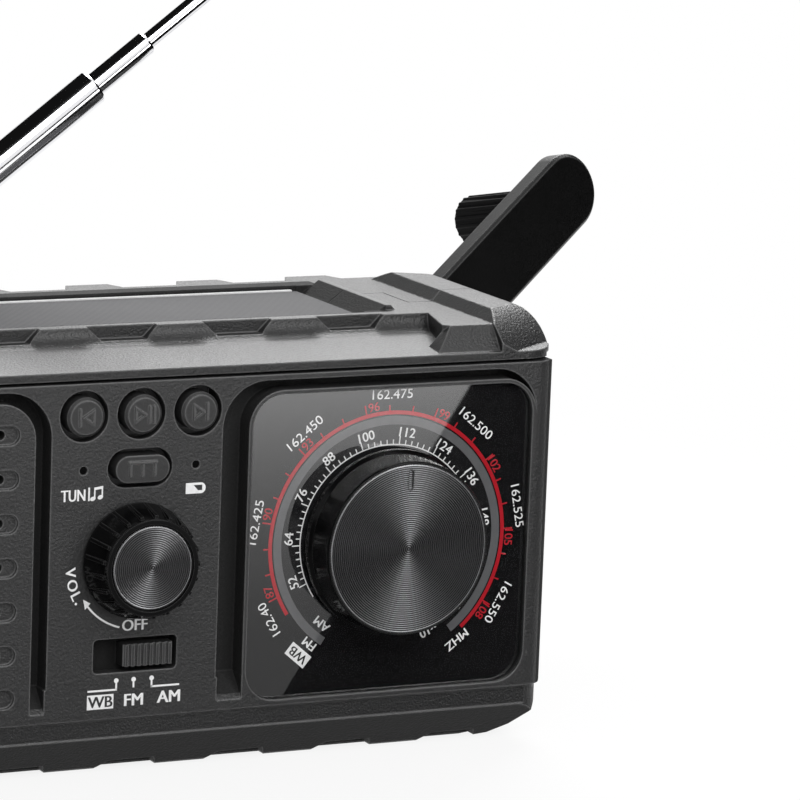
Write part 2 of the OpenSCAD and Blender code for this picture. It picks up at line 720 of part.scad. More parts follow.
module button_mode() color([0.1, 0.1, 0.1]) {
    along_y(button_face, flange_y + 0.1) translate([0, mode_z]) slot_outline(mode_w, 2 * mode_half);
    along_y(flange_y, flange_y + 0.9) translate([0, mode_z])
        slot_outline(mode_w + 2 * button_gap + 0.8, 2 * (mode_half + button_gap) + 0.8);
    rod_along_y(0, mode_z, flange_y + 0.8, stem_end, 1.5);
    mark(0, mode_z) {
        translate([0, 1.1]) square([5.2, mark_w], center = true);
        for (x = [-2.2, 0, 2.2]) translate([x, 0]) square([mark_w, 2.5], center = true);
    }
}

module button_switches() color([0.3, 0.3, 0.3])
    for (p = [[-button_pitch, button_z], [0, button_z], [button_pitch, button_z], [0, mode_z]]) {
        along_y(board_front - 2.6, board_front) translate([p[0], p[1]]) square(4.6, center = true);
        rod_along_y(p[0], p[1], stem_end + button_travel + 0.1, board_front - 2.5, 1.2);
    }

band_rest = band_travel / 2;

module band_slider() color([0.12, 0.12, 0.12]) {
    along_y(panel_front - 0.3, flange_y + 0.1) translate([band_rest, band_z])
        square([band_w, band_h], center = true);
    for (i = [0:7]) along_y(panel_front - 0.8, panel_front - 0.2)
        translate([band_rest + (i - 3.5) * band_w / 8, band_z]) square([band_w / 14, band_h], center = true);
    along_y(flange_y, flange_y + 0.9) translate([band_rest, band_z])
        square([window_w + band_travel + 1.2, window_h + 1.6], center = true);
    along_y(flange_y + 0.8, board_front - 2) translate([band_rest, band_z]) square([3, 2], center = true);
}

module band_switch() color([0.7, 0.7, 0.7]) difference() {
    along_y(board_front - 3.4, board_front) translate([0, band_z]) square([14, 5.4], center = true);
    along_y(board_front - 4, board_front - 1.2) translate([0, band_z])
        square([band_travel + 3.8, 2.6], center = true);
}

module light_pipes() color([0.8, 0.85, 0.8])
    for (s = [-1, 1]) rod_along_y(s * 10.2, mode_z, panel_front + 0.2, board_front, pipe_r);

// Main board

module main_board() color([0.05, 0.3, 0.12]) difference() {
    along_y(board_front, board_back) rect(board_x, board_z);
    rod_along_y(island_x, dial_z, board_front - 1, board_back + 1, spindle_r + 0.6);
    for (p = board_posts) rod_along_y(p[0], p[1], board_front - 1, board_back + 1, screw_r + running_gap);
}

module screw(x, z, head_y, end_y, r, head_r, head_l) {
    towards = end_y > head_y ? 1 : -1;
    turned_front(x, head_y, z)
        polygon([[0, towards * head_l], [head_r - 0.3, towards * head_l], [head_r, towards * (head_l - 0.3)],
            [head_r, 0], [0, 0]]);
    rod_along_y(x, z, min(head_y, end_y), max(head_y, end_y), r);
}

module board_screws() color([0.7, 0.7, 0.72])
    for (p = board_posts) screw(p[0], p[1], board_back, board_front - 6, screw_r, 2.2, 1.5);

// Speaker

module speaker_profile() polygon([[speaker_r - 3.5, 0], [speaker_r, 0], [speaker_r, -1.2],
    [speaker_r - 2.5, -1.2], [magnet_r + 0.5, -11], [magnet_r - 3.5, -11], [magnet_r - 3.5, -9.6],
    [magnet_r - 0.2, -9.6], [speaker_r - 3.5, -1]]);

magnet_r = 0.592 * speaker_r;

module speaker_frame() color([0.3, 0.3, 0.32])
    turned_front(-island_x, panel_back, dial_z) speaker_profile();

module speaker_cone() color([0.12, 0.11, 0.1])
    turned_front(-island_x, panel_back, dial_z)
        polygon([[0, -4.6], [4, -5.2], [9, -9], [9.8, -9], [speaker_r - 6.4, -2.6], [speaker_r - 5.4, -1.2],
            [speaker_r - 4.2, -0.9], [speaker_r - 3.5, 0], [speaker_r - 4.3, 0], [speaker_r - 5.4, -0.5],
            [speaker_r - 6.8, -1.6], [9.2, -8], [4.2, -4.5], [0, -3.9]]);

module speaker_magnet() color([0.55, 0.55, 0.56])
    turned_front(-island_x, panel_back, dial_z)
        polygon([[0, -11], [magnet_r, -11], [magnet_r, -18], [magnet_r - 0.7, -18.6], [0, -18.6]]);

// Solar panel

module solar_panel() color([0.12, 0.13, 0.2])
    along_y(recess_y[0] + 0.2, recess_y[1] - 0.2)
        rect([0.2 - recess_x, recess_x - 0.2], [deck_h - recess_d, deck_h - recess_d + 1.1]);

// Crank

// Frame of the crank at its angle: X along the arm, Z along the hinge
module on_hub() translate([hub_x, 0, hub_z]) rotate([0, -crank_angle, 0]) children();

// Frame of the arm: X along the arm, Y away from the radio, at the hinge
module on_arm() on_hub() translate([hinge_offset, hinge_y, 0]) rotate([0, 0, crank_tilt]) children();

module crank_hub() color([0.1, 0.1, 0.1]) on_hub() difference() {
    union() {
        rod_along_y(0, 0, hub_floor + 0.2, hub_top, hub_r);
        for (s = [-1, 1]) translate([hinge_offset, 0, s * (root_w / 2 + 0.2)]) mirror([0, 0, s < 0 ? 1 : 0])
            linear_extrude(2.2) {
                translate([-ear_r, hub_top - 0.05]) square([2 * ear_r, hinge_y - hub_top + 0.05]);
                translate([0, hinge_y]) circle(ear_r);
            }
    }
    rod_along_y(0, 0, 0, back_y - 1, shaft_r + slim);
    translate([hinge_offset, hinge_y, 0]) cylinder(r = pin_r + slim, h = 3 * root_w, center = true);
}

module crank_shaft() color([0.75, 0.75, 0.77])
    rod_along_y(hub_x, hub_z, plate_y[0] + 0.2, back_y - 1 - slim, shaft_r);

module crank_bush() color([0.72, 0.6, 0.3]) difference() {
    rod_along_y(hub_x, hub_z, hub_floor - 2.9, hub_floor - slim, bush_r - slim);
    rod_along_y(hub_x, hub_z, 0, back_y, shaft_r + running_gap);
}

module gear(at, teeth, y, turn) along_y(y[0], y[1]) translate(at) rotate(turn) polygon(gear_points(teeth));

module crank_gear() color([0.85, 0.85, 0.82]) difference() {
    union() {
        gear(crank_at, crank_teeth, low_gear, idler_angle);
        rod_along_y(hub_x, hub_z, plate_y[1] + 0.3, low_gear[0] + 0.1, shaft_r + 2);
    }
    rod_along_y(hub_x, hub_z, 0, back_y, shaft_r + slim);
    for (i = [0:4]) rod_along_y(hub_x + 7 * cos(72 * i), hub_z + 7 * sin(72 * i), 0, back_y, 1.7);
}

module hinge_pin() color([0.75, 0.75, 0.77]) on_hub() translate([hinge_offset, hinge_y, 0])
    cylinder(r = pin_r, h = root_w + 2 * 2.3, center = true);

arm_bevel = 0.6;

// Section of the arm with its edges taken off, from its middle line outwards
function arm_section(half) = [[-arm_t / 2, half - arm_bevel], [arm_bevel - arm_t / 2, half],
    [arm_t / 2 - arm_bevel, half], [arm_t / 2, half - arm_bevel]];

module crank_arm() color([0.1, 0.1, 0.105]) on_arm() difference() {
    union() {
        along_x(3.4, arm_length)
            polygon(concat(arm_section(arm_w / 2), [for (p = arm_section(arm_w / 2)) [-p[0], -p[1]]]));
        translate([arm_length, 0, 0]) rotate([90, 0, 0]) rotate_extrude()
            polygon(concat([[0, -arm_t / 2]], [for (p = arm_section(arm_w / 2)) [p[1], p[0]]],
                [[0, arm_t / 2]]));
        along_y(-arm_t / 2, arm_t / 2) rect([0, 4], [-root_w / 2, root_w / 2]);
        cylinder(r = arm_t / 2, h = root_w, center = true);
    }
    cylinder(r = pin_r + running_gap, h = 2 * root_w, center = true);
    rod_along_y(knob_at, 0, -arm_t / 2 + 1.6, arm_t, knob_pin_r + slim);
}

module knob_pin() color([0.75, 0.75, 0.77]) on_arm() {
    rod_along_y(knob_at, 0, -arm_t / 2 + 1.6 + slim, knob_foot + knob_length - 1.4, knob_pin_r);
    rod_along_y(knob_at, 0, knob_foot + knob_length - 1.5, knob_foot + knob_length - 0.7, knob_pin_r + 1);
}

module crank_knob() color([0.08, 0.08, 0.08]) on_arm() difference() {
    union() {
        translate([knob_at, knob_foot, 0]) rotate([-90, 0, 0]) rotate_extrude()
            polygon([[0, 0], [knob_r - 0.9, 0], [knob_r - 0.5, knob_length - 0.8],
                [knob_r - 1.2, knob_length], [0, knob_length]]);
        for (i = [0:knob_ribs - 1]) let (a = 360 * i / knob_ribs)
            rod_along_y(knob_at + (knob_r - 0.75) * cos(a), (knob_r - 0.75) * sin(a), knob_foot + 0.4,
                knob_foot + knob_length - 0.9, 0.5);
    }
    rod_along_y(knob_at, 0, 0, 2 * knob_length, knob_pin_r + running_gap);
    rod_along_y(knob_at, 0, knob_foot + knob_length - 1.7, 2 * knob_length, knob_pin_r + 1.2);
}

// Gear train and generator

module gear_plate() color([0.6, 0.62, 0.64]) difference() {
    along_y(plate_y[0], plate_y[1]) rect(plate_x, plate_z);
    rod_along_y(hub_x, hub_z, 0, back_y, shaft_r + running_gap);
    rod_along_y(idler_at[0], idler_at[1], 0, back_y, pin_r + slim);
    rod_along_y(generator_at[0], generator_at[1], 0, back_y, 2.6);
    for (p = plate_posts) rod_along_y(p[0], p[1], 0, back_y, screw_r + running_gap);
    for (p = case_posts) rod_along_y(p[0], p[1], 0, back_y, case_post_r + 0.9);
}

module plate_screws() color([0.7, 0.7, 0.72])
    for (p = plate_posts) screw(p[0], p[1], plate_y[0], plate_y[1] + 8, screw_r, 2.2, 1.5);

module idler_pin() color([0.75, 0.75, 0.77])
    rod_along_y(idler_at[0], idler_at[1], plate_y[0] + 0.2, inner_back - 0.2, pin_r);

module idler_gear() color([0.85, 0.85, 0.82]) difference() {
    union() {
        gear(idler_at, idler_small_teeth, [low_gear[0] - 0.3, high_gear[0] + 0.1],
            idler_angle + 180 + 180 / idler_small_teeth);
        gear(idler_at, idler_large_teeth, high_gear, generator_angle);
        rod_along_y(idler_at[0], idler_at[1], plate_y[1] + 0.3, high_gear[1] + 0.8, 2.1);
    }
    rod_along_y(idler_at[0], idler_at[1], 0, back_y, pin_r + running_gap);
}

module generator() color([0.66, 0.66, 0.68]) difference() {
    union() {
        rod_along_y(generator_at[0], generator_at[1], plate_y[0] - generator_l, plate_y[0], generator_r);
        rod_along_y(generator_at[0], generator_at[1], plate_y[0] - slim, plate_y[1] - 0.4, 2.5);
    }
    rod_along_y(generator_at[0], generator_at[1], plate_y[0] - 8, back_y, pin_r + running_gap);
}

module generator_pinion() color([0.8, 0.68, 0.35]) {
    gear(generator_at, generator_teeth, high_gear, generator_angle + 180 + 180 / generator_teeth);
    rod_along_y(generator_at[0], generator_at[1], plate_y[0] - 7.5, high_gear[0] + 0.1, pin_r);
}

// Battery

module battery_cell() color([0.2, 0.45, 0.65])
    turned_right(cell_x, cell_y, cell_z)
        polygon([[0, 0], [cell_r - 0.6, 0], [cell_r, 0.6], [cell_r, cell_l - 0.6], [cell_r - 0.6, cell_l],
            [0, cell_l]]);

module battery_holder() color([0.1, 0.1, 0.1]) difference() {
    along_x(cell_x - 3, cell_x + cell_l + 3)
        rect([cell_y - cell_r - 1.6, inner_back], [cell_z - cell_r - 1.5, cell_z + cell_r + 1.5]);
    translate([cell_x - 1.6, cell_y, cell_z]) rotate([0, 90, 0]) cylinder(r = cell_r + 0.2, h = cell_l + 3.2);
    along_x(cell_x - 1.6, cell_x + cell_l + 1.6)
        rect([cell_y, back_y], [cell_z - cell_r - 0.2, cell_z + cell_r + 0.2]);
}

module battery_contacts() color([0.8, 0.78, 0.7]) for (x = [cell_x - 1.5, cell_x + cell_l + 0.1])
    along_x(x, x + 1.4) translate([cell_y, cell_z]) round_rect(11, 11, 2);

module battery_door() color([0.12, 0.12, 0.12]) along_y(back_y - door_t, back_y) difference() {
    rect(door_x(0), door_z(0));
    for (i = [-3:3]) translate([cell_x + 8 + i * 2.4, cell_z]) slot_outline_up(0.9, 9);
    translate([door_screw_x, cell_z]) circle(2.3);
}

// Screw of the battery door, with its flat head level with the back
module door_screw() color([0.5, 0.5, 0.52])
    screw(door_screw_x, cell_z, back_y - door_t - 0.08, back_y - 10, screw_r, 2.2, 1);

// Ports behind a rubber flap

module port_cover() color([0.09, 0.09, 0.09]) difference() {
    union() {
        along_y(back_y - 1.8, back_y) rect(port_span_x(0), [port_hinge_z, port_z + port_h / 2]);
        along_x(port_x - port_w / 2, port_x + port_w / 2) translate([back_y - 0.9, port_hinge_z]) circle(0.9);
    }
    along_y(back_y - 0.5, back_y + 1) translate([port_x, port_z + port_h / 2]) circle(3);
}

port_board_z = port_z - 2.5;

module socket(x, w, h, depth) difference() {
    along_y(back_y - 2.6 - depth, back_y - 2.6) translate([x, port_board_z + h / 2])
        square([w, h], center = true);
    along_y(back_y - 1.6 - depth, back_y - 2) translate([x, port_board_z + h / 2]) difference() {
        square([w - 0.8, h - 0.8], center = true);
        translate([0, 0.2]) square([w - 2.4, 0.8], center = true);
    }
}

module charge_socket() color([0.75, 0.75, 0.77]) socket(port_x - 5.2, 7.4, 3, 8);

module output_socket() color([0.75, 0.75, 0.77]) socket(port_x + 3.8, 9, 5.4, 10);

module port_board() color([0.05, 0.3, 0.12]) along_y(inner_back - 12, inner_back)
    rect([port_x - 10.4, port_x + 10.4], [port_board_z - 1.6, port_board_z]);

// Torch in the left end

torch_x = -end_x;

module flash_lens() color([0.8, 0.85, 0.9, 0.5])
    turned_right(torch_x + 0.4, 0, torch_z)
        polygon([[0, 0], [torch_r - 0.6, 0], [torch_r, 0.6], [torch_r, wall - 0.4], [0, wall - 0.4]]);

module flash_reflector() color([0.85, 0.85, 0.86])
    turned_right(torch_x + wall, 0, torch_z)
        polygon([[torch_r + 0.5, 0], [torch_r + 0.5, 1], [torch_r - 0.6, 1], [6.5, 6], [3.4, 10], [2.4, 10],
            [2.4, 9], [5.4, 5.2], [torch_r - 1.4, 0]]);

module flash_board() color([0.9, 0.9, 0.85]) {
    translate([torch_x + wall + 10, 0, torch_z]) rotate([0, 90, 0]) cylinder(r = 6, h = 1.4);
    turned_right(torch_x + wall + 7.6, 0, torch_z)
        polygon([[0, 0], [0.8, 0.2], [1.6, 1], [1.9, 2.5], [0, 2.5]]);
}

// Ferrite rod on the board

ferrite_r = 4;
ferrite_x = [board_x[0] + 6, board_x[1] - 18];
ferrite_z = board_z[1] - 5;

module ferrite_rod() color([0.2, 0.2, 0.22]) {
    translate([ferrite_x[0], board_back + ferrite_r + 2, ferrite_z]) rotate([0, 90, 0])
        cylinder(r = ferrite_r, h = ferrite_x[1] - ferrite_x[0]);
    for (x = [ferrite_x[0] + 6, ferrite_x[1] - 10]) along_x(x, x + 4)
        rect([board_back, board_back + ferrite_r + 2], [ferrite_z - 2.5, ferrite_z + 2.5]);
}

// Antenna

module on_antenna() translate([-antenna_inset, rod_y, rod_z]) rotate([0, -antenna_angle, 0]) children();

module tube(from, length, r, bore) translate([from, 0, 0]) rotate([0, 90, 0]) rotate_extrude()
    polygon([[bore, 0], [r, 0], [r, length - 0.4], [r - 0.3, length], [bore, length]]);

module antenna_bracket() color([0.1, 0.1, 0.1]) difference() {
    union() {
        for (y = [[shelf_y + 0.1, shelf_y + 1.6], [back_y - 1.6, back_y - 0.1]]) {
            rod_along_y(-antenna_inset, rod_z, y[0], y[1], 3.2);
            along_y(y[0], y[1]) rect([-antenna_inset - 6, -antenna_inset + 3.2], [shelf_z, rod_z]);
        }
        along_y(shelf_y + 0.1, back_y - 0.1)
            rect([-antenna_inset - 6, -antenna_inset - 3.6], [shelf_z, rod_z]);
    }
    rod_along_y(-antenna_inset, rod_z, 0, back_y + 1, 1.2 + slim);
}

module antenna_pin() color([0.75, 0.75, 0.77])
    rod_along_y(-antenna_inset, rod_z, shelf_y + 0.2, back_y - 0.2, 1.2);

knuckle_half = shelf_d / 2 - 1.9;

module antenna_tube_1() color([0.8, 0.8, 0.82]) on_antenna() {
    difference() {
        union() {
            rod_along_y(0, 0, -knuckle_half, knuckle_half, 2.6);
            along_y(-knuckle_half, knuckle_half) rect([0, 5], [-2, 2]);
            translate([4.6, 0, 0]) rotate([0, 90, 0]) cylinder(r = tube_r - 0.3, h = 3);
        }
        rod_along_y(0, 0, -knuckle_half - 1, knuckle_half + 1, 1.2 + running_gap);
    }
    tube(tube_start, tube_length, tube_r, inner_r[0] + running_gap);
}

// Places where the inner stages begin and how long they are
stage_l = tube_length - 2.4;
stage_2 = tube_start + 2.4 + stage_out[0];
stage_3 = stage_2 + stage_out[1];

module antenna_tube_2() color([0.8, 0.8, 0.82]) on_antenna()
    tube(stage_2, stage_l, inner_r[0], inner_r[1] + running_gap);

module antenna_tube_3() color([0.8, 0.8, 0.82]) on_antenna() {
    translate([stage_3, 0, 0]) rotate([0, 90, 0]) cylinder(r = inner_r[1], h = stage_l);
    translate([stage_3 + stage_l - 0.1, 0, 0]) rotate([0, 90, 0]) rotate_extrude()
        polygon([[0, 0], [tube_r - 0.4, 0], [tube_r, 0.5], [tube_r, tip_l - 1], [tube_r - 0.8, tip_l],
            [0, tip_l]]);
}

module case_screws() color([0.5, 0.5, 0.52])
    for (p = case_posts) screw(p[0], p[1], back_y - 4, seam_y - 13, case_screw_r, case_post_r - 0.2, 1.8);

front_shell();
rear_shell();
front_panel();
dial_plate();
dial_lens();
tuning_knob();
tuning_cap();
tuning_spindle();
tuning_capacitor();
volume_knob();
volume_cap();
volume_spindle();
volume_control();
button_previous();
button_play();
button_next();
button_mode();
button_switches();
band_slider();
band_switch();
light_pipes();
main_board();
board_screws();
speaker_frame();
speaker_cone();
speaker_magnet();
solar_panel();
crank_hub();
crank_shaft();
crank_bush();
crank_gear();
hinge_pin();
crank_arm();
knob_pin();
crank_knob();
gear_plate();
plate_screws();
idler_pin();
idler_gear();
generator();
generator_pinion();
battery_cell();
battery_holder();
battery_contacts();
battery_door();
door_screw();
port_cover();
charge_socket();
output_socket();
port_board();
flash_lens();
flash_reflector();
flash_board();
ferrite_rod();
antenna_bracket();
antenna_pin();
antenna_tube_1();
antenna_tube_2();
antenna_tube_3();
case_screws();
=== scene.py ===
"""Finishes, printed marks and stage of a hand crank weather radio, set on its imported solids."""

import math

import bmesh
import bpy
from bpy.props import FloatProperty, FloatVectorProperty, IntProperty, PointerProperty
from mathutils import Matrix, Vector


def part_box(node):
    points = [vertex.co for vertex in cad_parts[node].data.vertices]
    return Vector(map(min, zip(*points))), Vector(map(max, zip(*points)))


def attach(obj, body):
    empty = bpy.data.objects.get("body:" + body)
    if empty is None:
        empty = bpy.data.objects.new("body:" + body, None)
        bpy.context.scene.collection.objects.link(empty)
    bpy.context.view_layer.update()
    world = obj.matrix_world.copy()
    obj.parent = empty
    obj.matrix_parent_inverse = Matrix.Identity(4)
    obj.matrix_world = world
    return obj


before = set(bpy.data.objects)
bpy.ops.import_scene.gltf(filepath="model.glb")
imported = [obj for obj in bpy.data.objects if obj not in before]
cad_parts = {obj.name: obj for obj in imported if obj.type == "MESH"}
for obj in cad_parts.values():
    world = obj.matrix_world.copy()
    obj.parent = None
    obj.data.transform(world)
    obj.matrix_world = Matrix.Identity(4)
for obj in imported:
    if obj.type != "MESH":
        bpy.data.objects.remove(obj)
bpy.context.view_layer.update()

bl_info = {
    "name": "Hand crank radio",
    "version": (1, 0, 0),
    "blender": (4, 5, 0),
    "location": "View3D > Sidebar > Radio",
    "description": "Finishes, printed marks and stage of a hand crank weather radio",
    "category": "Object",
}

MM = 0.001


def middle(node):
    """Centre of a CAD node's box."""
    low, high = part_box(node)
    return (low + high) / 2


def front(node):
    """Y of the face of a CAD node that looks to the front."""
    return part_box(node)[0].y


# Middles of the dial, of the volume knob and of the marks round it, and Y of the printed faces
DIAL = middle("dial_plate")
VOLUME = middle("volume_knob")
VOLUME_MARKS = Vector((0.0002, 0, 0.0372))
PLATE_Y = front("dial_plate")
PANEL_Y = front("front_panel")


def colour_setting(name, description, default):
    """A colour that a user may change."""
    return FloatVectorProperty(
        name=name, description=description, subtype="COLOR", size=3, min=0, max=1, default=default
    )


def length_setting(name, description, millimetres):
    """A length that a user may change, given in millimetres."""
    return FloatProperty(
        name=name, description=description, unit="LENGTH", min=0, default=millimetres * MM
    )


def number_setting(name, description, default, unit="NONE"):
    """A number that a user may change."""
    return FloatProperty(name=name, description=description, unit=unit, default=default)


class RadioColours(bpy.types.PropertyGroup):
    """Colours of the radio's finishes."""

    case: colour_setting("Case", "Moulded plastic of the two shells", (0.011, 0.011, 0.0113))
    panel: colour_setting("Panel", "Moulded plastic of the front panel", (0.019, 0.019, 0.0194))
    soft: colour_setting("Rubber", "Buttons, flap and slider", (0.019, 0.019, 0.0194))
    knob: colour_setting("Knobs", "Skirts of the knobs", (0.004, 0.004, 0.0042))
    spun: colour_setting("Spun faces", "Turned metal faces of the knobs", (0.11, 0.11, 0.113))
    dial: colour_setting("Dial", "Ground of the printed dial", (0.009, 0.009, 0.0095))
    band: colour_setting("Dial band", "Grey band of the printed dial", (0.13, 0.13, 0.135))
    red: colour_setting("Red print", "Red scale of the dial", (0.46, 0.016, 0.026))
    white: colour_setting("White print", "White figures and letters", (0.92, 0.92, 0.92))
    cells: colour_setting("Solar cells", "Face of the solar panel", (0.075, 0.075, 0.079))
    chrome: colour_setting("Chrome", "Plated tubes of the antenna", (0.86, 0.86, 0.88))
    floor: colour_setting("Floor", "Floor under the radio", (0.95, 0.95, 0.95))


class RadioSizes(bpy.types.PropertyGroup):
    """Sizes of the radio's marks and textures."""

    ink: length_setting("Ink", "Thickness of the printed marks", 0.03)
    grain: length_setting("Grain", "Width of the moulded grain", 0.42)
    edge: length_setting("Edge", "Radius of the softened edges", 0.45)
    groove: length_setting("Groove", "Spacing of the grooves on the spun faces", 0.36)
    hatch: length_setting("Hatch", "Spacing of the lines on the solar cells", 1.15)
    red_arc: length_setting("Red arc", "Radius of the dial's red scale", 22.2)
    white_arc: length_setting("White arc", "Radius of the dial's inner scale", 16.6)
    figures: length_setting("Figures", "Radius at which the outer figures stand", 25.4)
    letters: length_setting("Letters", "Height of the letters on the panel", 2.05)


class RadioLight(bpy.types.PropertyGroup):
    """Lamps and camera of the stage."""

    key: number_setting("Key", "Power of the lamp behind the radio", 6.5, "POWER")
    fill: number_setting("Fill", "Power of the lamp in front", 5.0, "POWER")
    room: number_setting("Room", "Strength of the light from all round", 0.24)
    lens: number_setting("Lens", "Focal length of the camera", 218.14, "CAMERA")
    steps: IntProperty(name="Arc steps", description="Points for each degree of an arc", default=2)


# Node trees


class Shade:
    """A value in a material's nodes. Arithmetic on it adds Math nodes."""

    def __init__(self, finish, socket):
        self.finish = finish
        self.socket = socket

    def math(self, operation, *values):
        """A Math node on these values."""
        sockets = dict(enumerate(values))
        return self.finish.node("ShaderNodeMath", {"operation": operation}, sockets)

    def __add__(self, other):
        return self.math("ADD", self, other)

    def __radd__(self, other):
        return self.math("ADD", other, self)

    def __sub__(self, other):
        return self.math("SUBTRACT", self, other)

    def __rsub__(self, other):
        return self.math("SUBTRACT", other, self)

    def __mul__(self, other):
        return self.math("MULTIPLY", self, other)

    def __rmul__(self, other):
        return self.math("MULTIPLY", other, self)

    def __truediv__(self, other):
        return self.math("DIVIDE", self, other)

    def __gt__(self, other):
        return self.math("GREATER_THAN", self, other)

    def __lt__(self, other):
        return self.math("LESS_THAN", self, other)

    def sine(self):
        """Sine of this value."""
        return self.math("SINE", self)

    def clamped(self):
        """This value, held between 0 and 1."""
        return self.math("MAXIMUM", self.math("MINIMUM", self, 1), 0)


class Finish:
    """A material that is built from nodes."""

    output_kind = "ShaderNodeOutputMaterial"

    def __init__(self, name):
        self.owner = self.begin(name)
        self.owner.use_nodes = True
        self.tree = self.owner.node_tree
        self.tree.nodes.clear()
        self.output = self.tree.nodes.new(self.output_kind)

    def begin(self, name):
        """Makes what owns the nodes."""
        return bpy.data.materials.new(name)

    def node(self, kind, settings=None, sockets=None, output=0):
        """Adds a node with its settings and the values or links of its sockets."""
        made = self.tree.nodes.new(kind)
        for key, value in (settings or {}).items():
            setattr(made, key, value)
        for key, value in (sockets or {}).items():
            if isinstance(value, Shade):
                self.tree.links.new(value.socket, made.inputs[key])
            else:
                made.inputs[key].default_value = value
        return Shade(self, made.outputs[output])

    def place(self):
        """Coordinates that stay with the piece."""
        return self.node("ShaderNodeTexCoord", output="Object")

    def noise(self, width, detail=2.0):
        """Noise with features of this width."""
        sockets = {"Vector": self.place(), "Scale": 1 / width, "Detail": detail}
        return self.node("ShaderNodeTexNoise", None, sockets)

    def mix(self, share, first, second):
        """A colour between two others."""
        sockets = {0: share, 6: first, 7: second}
        return self.node("ShaderNodeMix", {"data_type": "RGBA"}, sockets, 2)

    def tint(self, share, colour, dark, light):
        """A colour that goes from a darker to a lighter tone."""
        return self.mix(share, rgba(colour, dark), rgba(colour, light))

    def vector(self, operation, *values, output=0):
        """A Vector Math node on these values."""
        sockets = dict(enumerate(values))
        return self.node("ShaderNodeVectorMath", {"operation": operation}, sockets, output)

    def axis(self, vector, name):
        """One coordinate of a vector."""
        return self.node("ShaderNodeSeparateXYZ", None, {0: vector}, name)

    def soft_edge(self, radius):
        """Normals that round the edges."""
        return self.node("ShaderNodeBevel", {"samples": 4}, {"Radius": radius})

    def edge(self, radius, gain):
        """Mask that is 1 along the edges."""
        true = self.node("ShaderNodeNewGeometry", output="Normal")
        cosine = self.vector("DOT_PRODUCT", self.soft_edge(radius), true, output="Value")
        return ((1 - cosine) * gain).clamped()

    def inside(self, low, high):
        """Mask that is 1 between two corners."""
        place = self.place()
        mask = 1.0
        for name, first, last in zip("XYZ", low, high):
            along = self.axis(place, name)
            mask = (along > first) * (along < last) * mask
        return mask

    def relief(self, height, strength, depth, normal):
        """Normals of a fine relief."""
        sockets = {"Strength": strength, "Distance": depth, "Height": height, "Normal": normal}
        return self.node("ShaderNodeBump", None, sockets)

    def seen(self):
        """1 for the rays of the camera, of reflections and of what is seen through glass."""
        rays = ("Is Camera Ray", "Is Glossy Ray", "Is Transmission Ray")
        camera, gloss, through = (self.node("ShaderNodeLightPath", output=ray) for ray in rays)
        return camera + gloss + through

    def glow(self, colour, strength):
        """Light that a surface gives by itself."""
        return self.node("ShaderNodeEmission", None, {"Color": colour, "Strength": strength})

    def between(self, share, first, second):
        """A shader between two others."""
        return self.node("ShaderNodeMixShader", None, {0: share, 1: first, 2: second})

    def surface(self, shader):
        """Ends the nodes in this shader."""
        self.tree.links.new(shader.socket, self.output.inputs["Surface"])
        return self.owner

    def principled(self, **sockets):
        """Ends the material in a Principled shader."""
        names = {key.replace("_", " "): value for key, value in sockets.items()}
        return self.surface(self.node("ShaderNodeBsdfPrincipled", None, names))


class Surroundings(Finish):
    """The light from all round, built from nodes."""

    output_kind = "ShaderNodeOutputWorld"

    def begin(self, name):
        """Makes the world that owns the nodes."""
        world = bpy.data.worlds.new(name)
        bpy.context.scene.world = world
        return world


def rgba(colour, scale=1.0):
    """Four numbers of a colour, made lighter or darker."""
    return (*(min(1, c * scale) for c in colour), 1)


def grey(value):
    """Four numbers of a grey."""
    return (value, value, value, 1)


def paler(colour, times, plus):
    """Four numbers of a colour made paler by wear and painted edge highlight."""
    return rgba([c * times + plus for c in colour])


def settings():
    """The radio's colours, sizes and lights."""
    scene = bpy.context.scene
    return scene.radio_colours, scene.radio_sizes, scene.radio_light


WHITE = grey(1)

# Finishes


# Moulded plastic: depth of the grain, shares of grain and cloudiness in the tone, share of the edges
# made paler by wear and painted highlight, and how far grain, cloudiness, wear with highlight and
# painted shade change the roughness
GRAIN_DEPTH = 0.13 * MM
GRAIN_SHARE, CLOUD_SHARE, WEAR_AND_HIGHLIGHT_SHARE, PAINTED_SHADE_SHARE = 0.7, 0.3, 0.7, 0.9
GRAIN_SHINE, CLOUD_SHINE, WEAR_AND_HIGHLIGHT_SHINE, PAINTED_SHADE_SHINE = 0.2, 0.1, 0.12, 0.4


def moulded(name, colour, rough, strength=1.0, specular=0.55, dark=None):
    """Moulded plastic with a fine grain, paler and shinier along the edges as wear and painted edge
    highlight.

    Dark gives the corners of a box in which the plastic is painted matt black as shade."""
    _, sizes, _ = settings()
    finish = Finish(name)
    grain = finish.noise(sizes.grain)
    cloud = finish.noise(30 * MM, detail=4.0)
    # Paler and shinier along the edges: partly wear, partly painted edge highlight
    wear_and_highlight = finish.edge(sizes.edge, gain=8.0)
    tone = finish.tint(cloud * CLOUD_SHARE + grain * GRAIN_SHARE, colour, dark=0.5, light=1.55)
    tone = finish.mix(wear_and_highlight * WEAR_AND_HIGHLIGHT_SHARE, tone, paler(colour, times=3, plus=0.2))
    shine = rough + GRAIN_SHINE * (grain - 0.5) + CLOUD_SHINE * (cloud - 0.5) - WEAR_AND_HIGHLIGHT_SHINE * wear_and_highlight
    # Painted shade: inside the box the plastic is made near black and rougher
    if dark:
        depth = finish.inside(*dark)
        tone = finish.mix(depth * PAINTED_SHADE_SHARE, tone, rgba(colour, scale=0.05))
        shine = shine + depth * PAINTED_SHADE_SHINE
    normal = finish.relief(grain, strength, GRAIN_DEPTH, finish.soft_edge(sizes.edge))
    return finish.principled(
        Base_Color=tone,
        Roughness=shine,
        Specular_IOR_Level=specular,
        Normal=normal,
    )


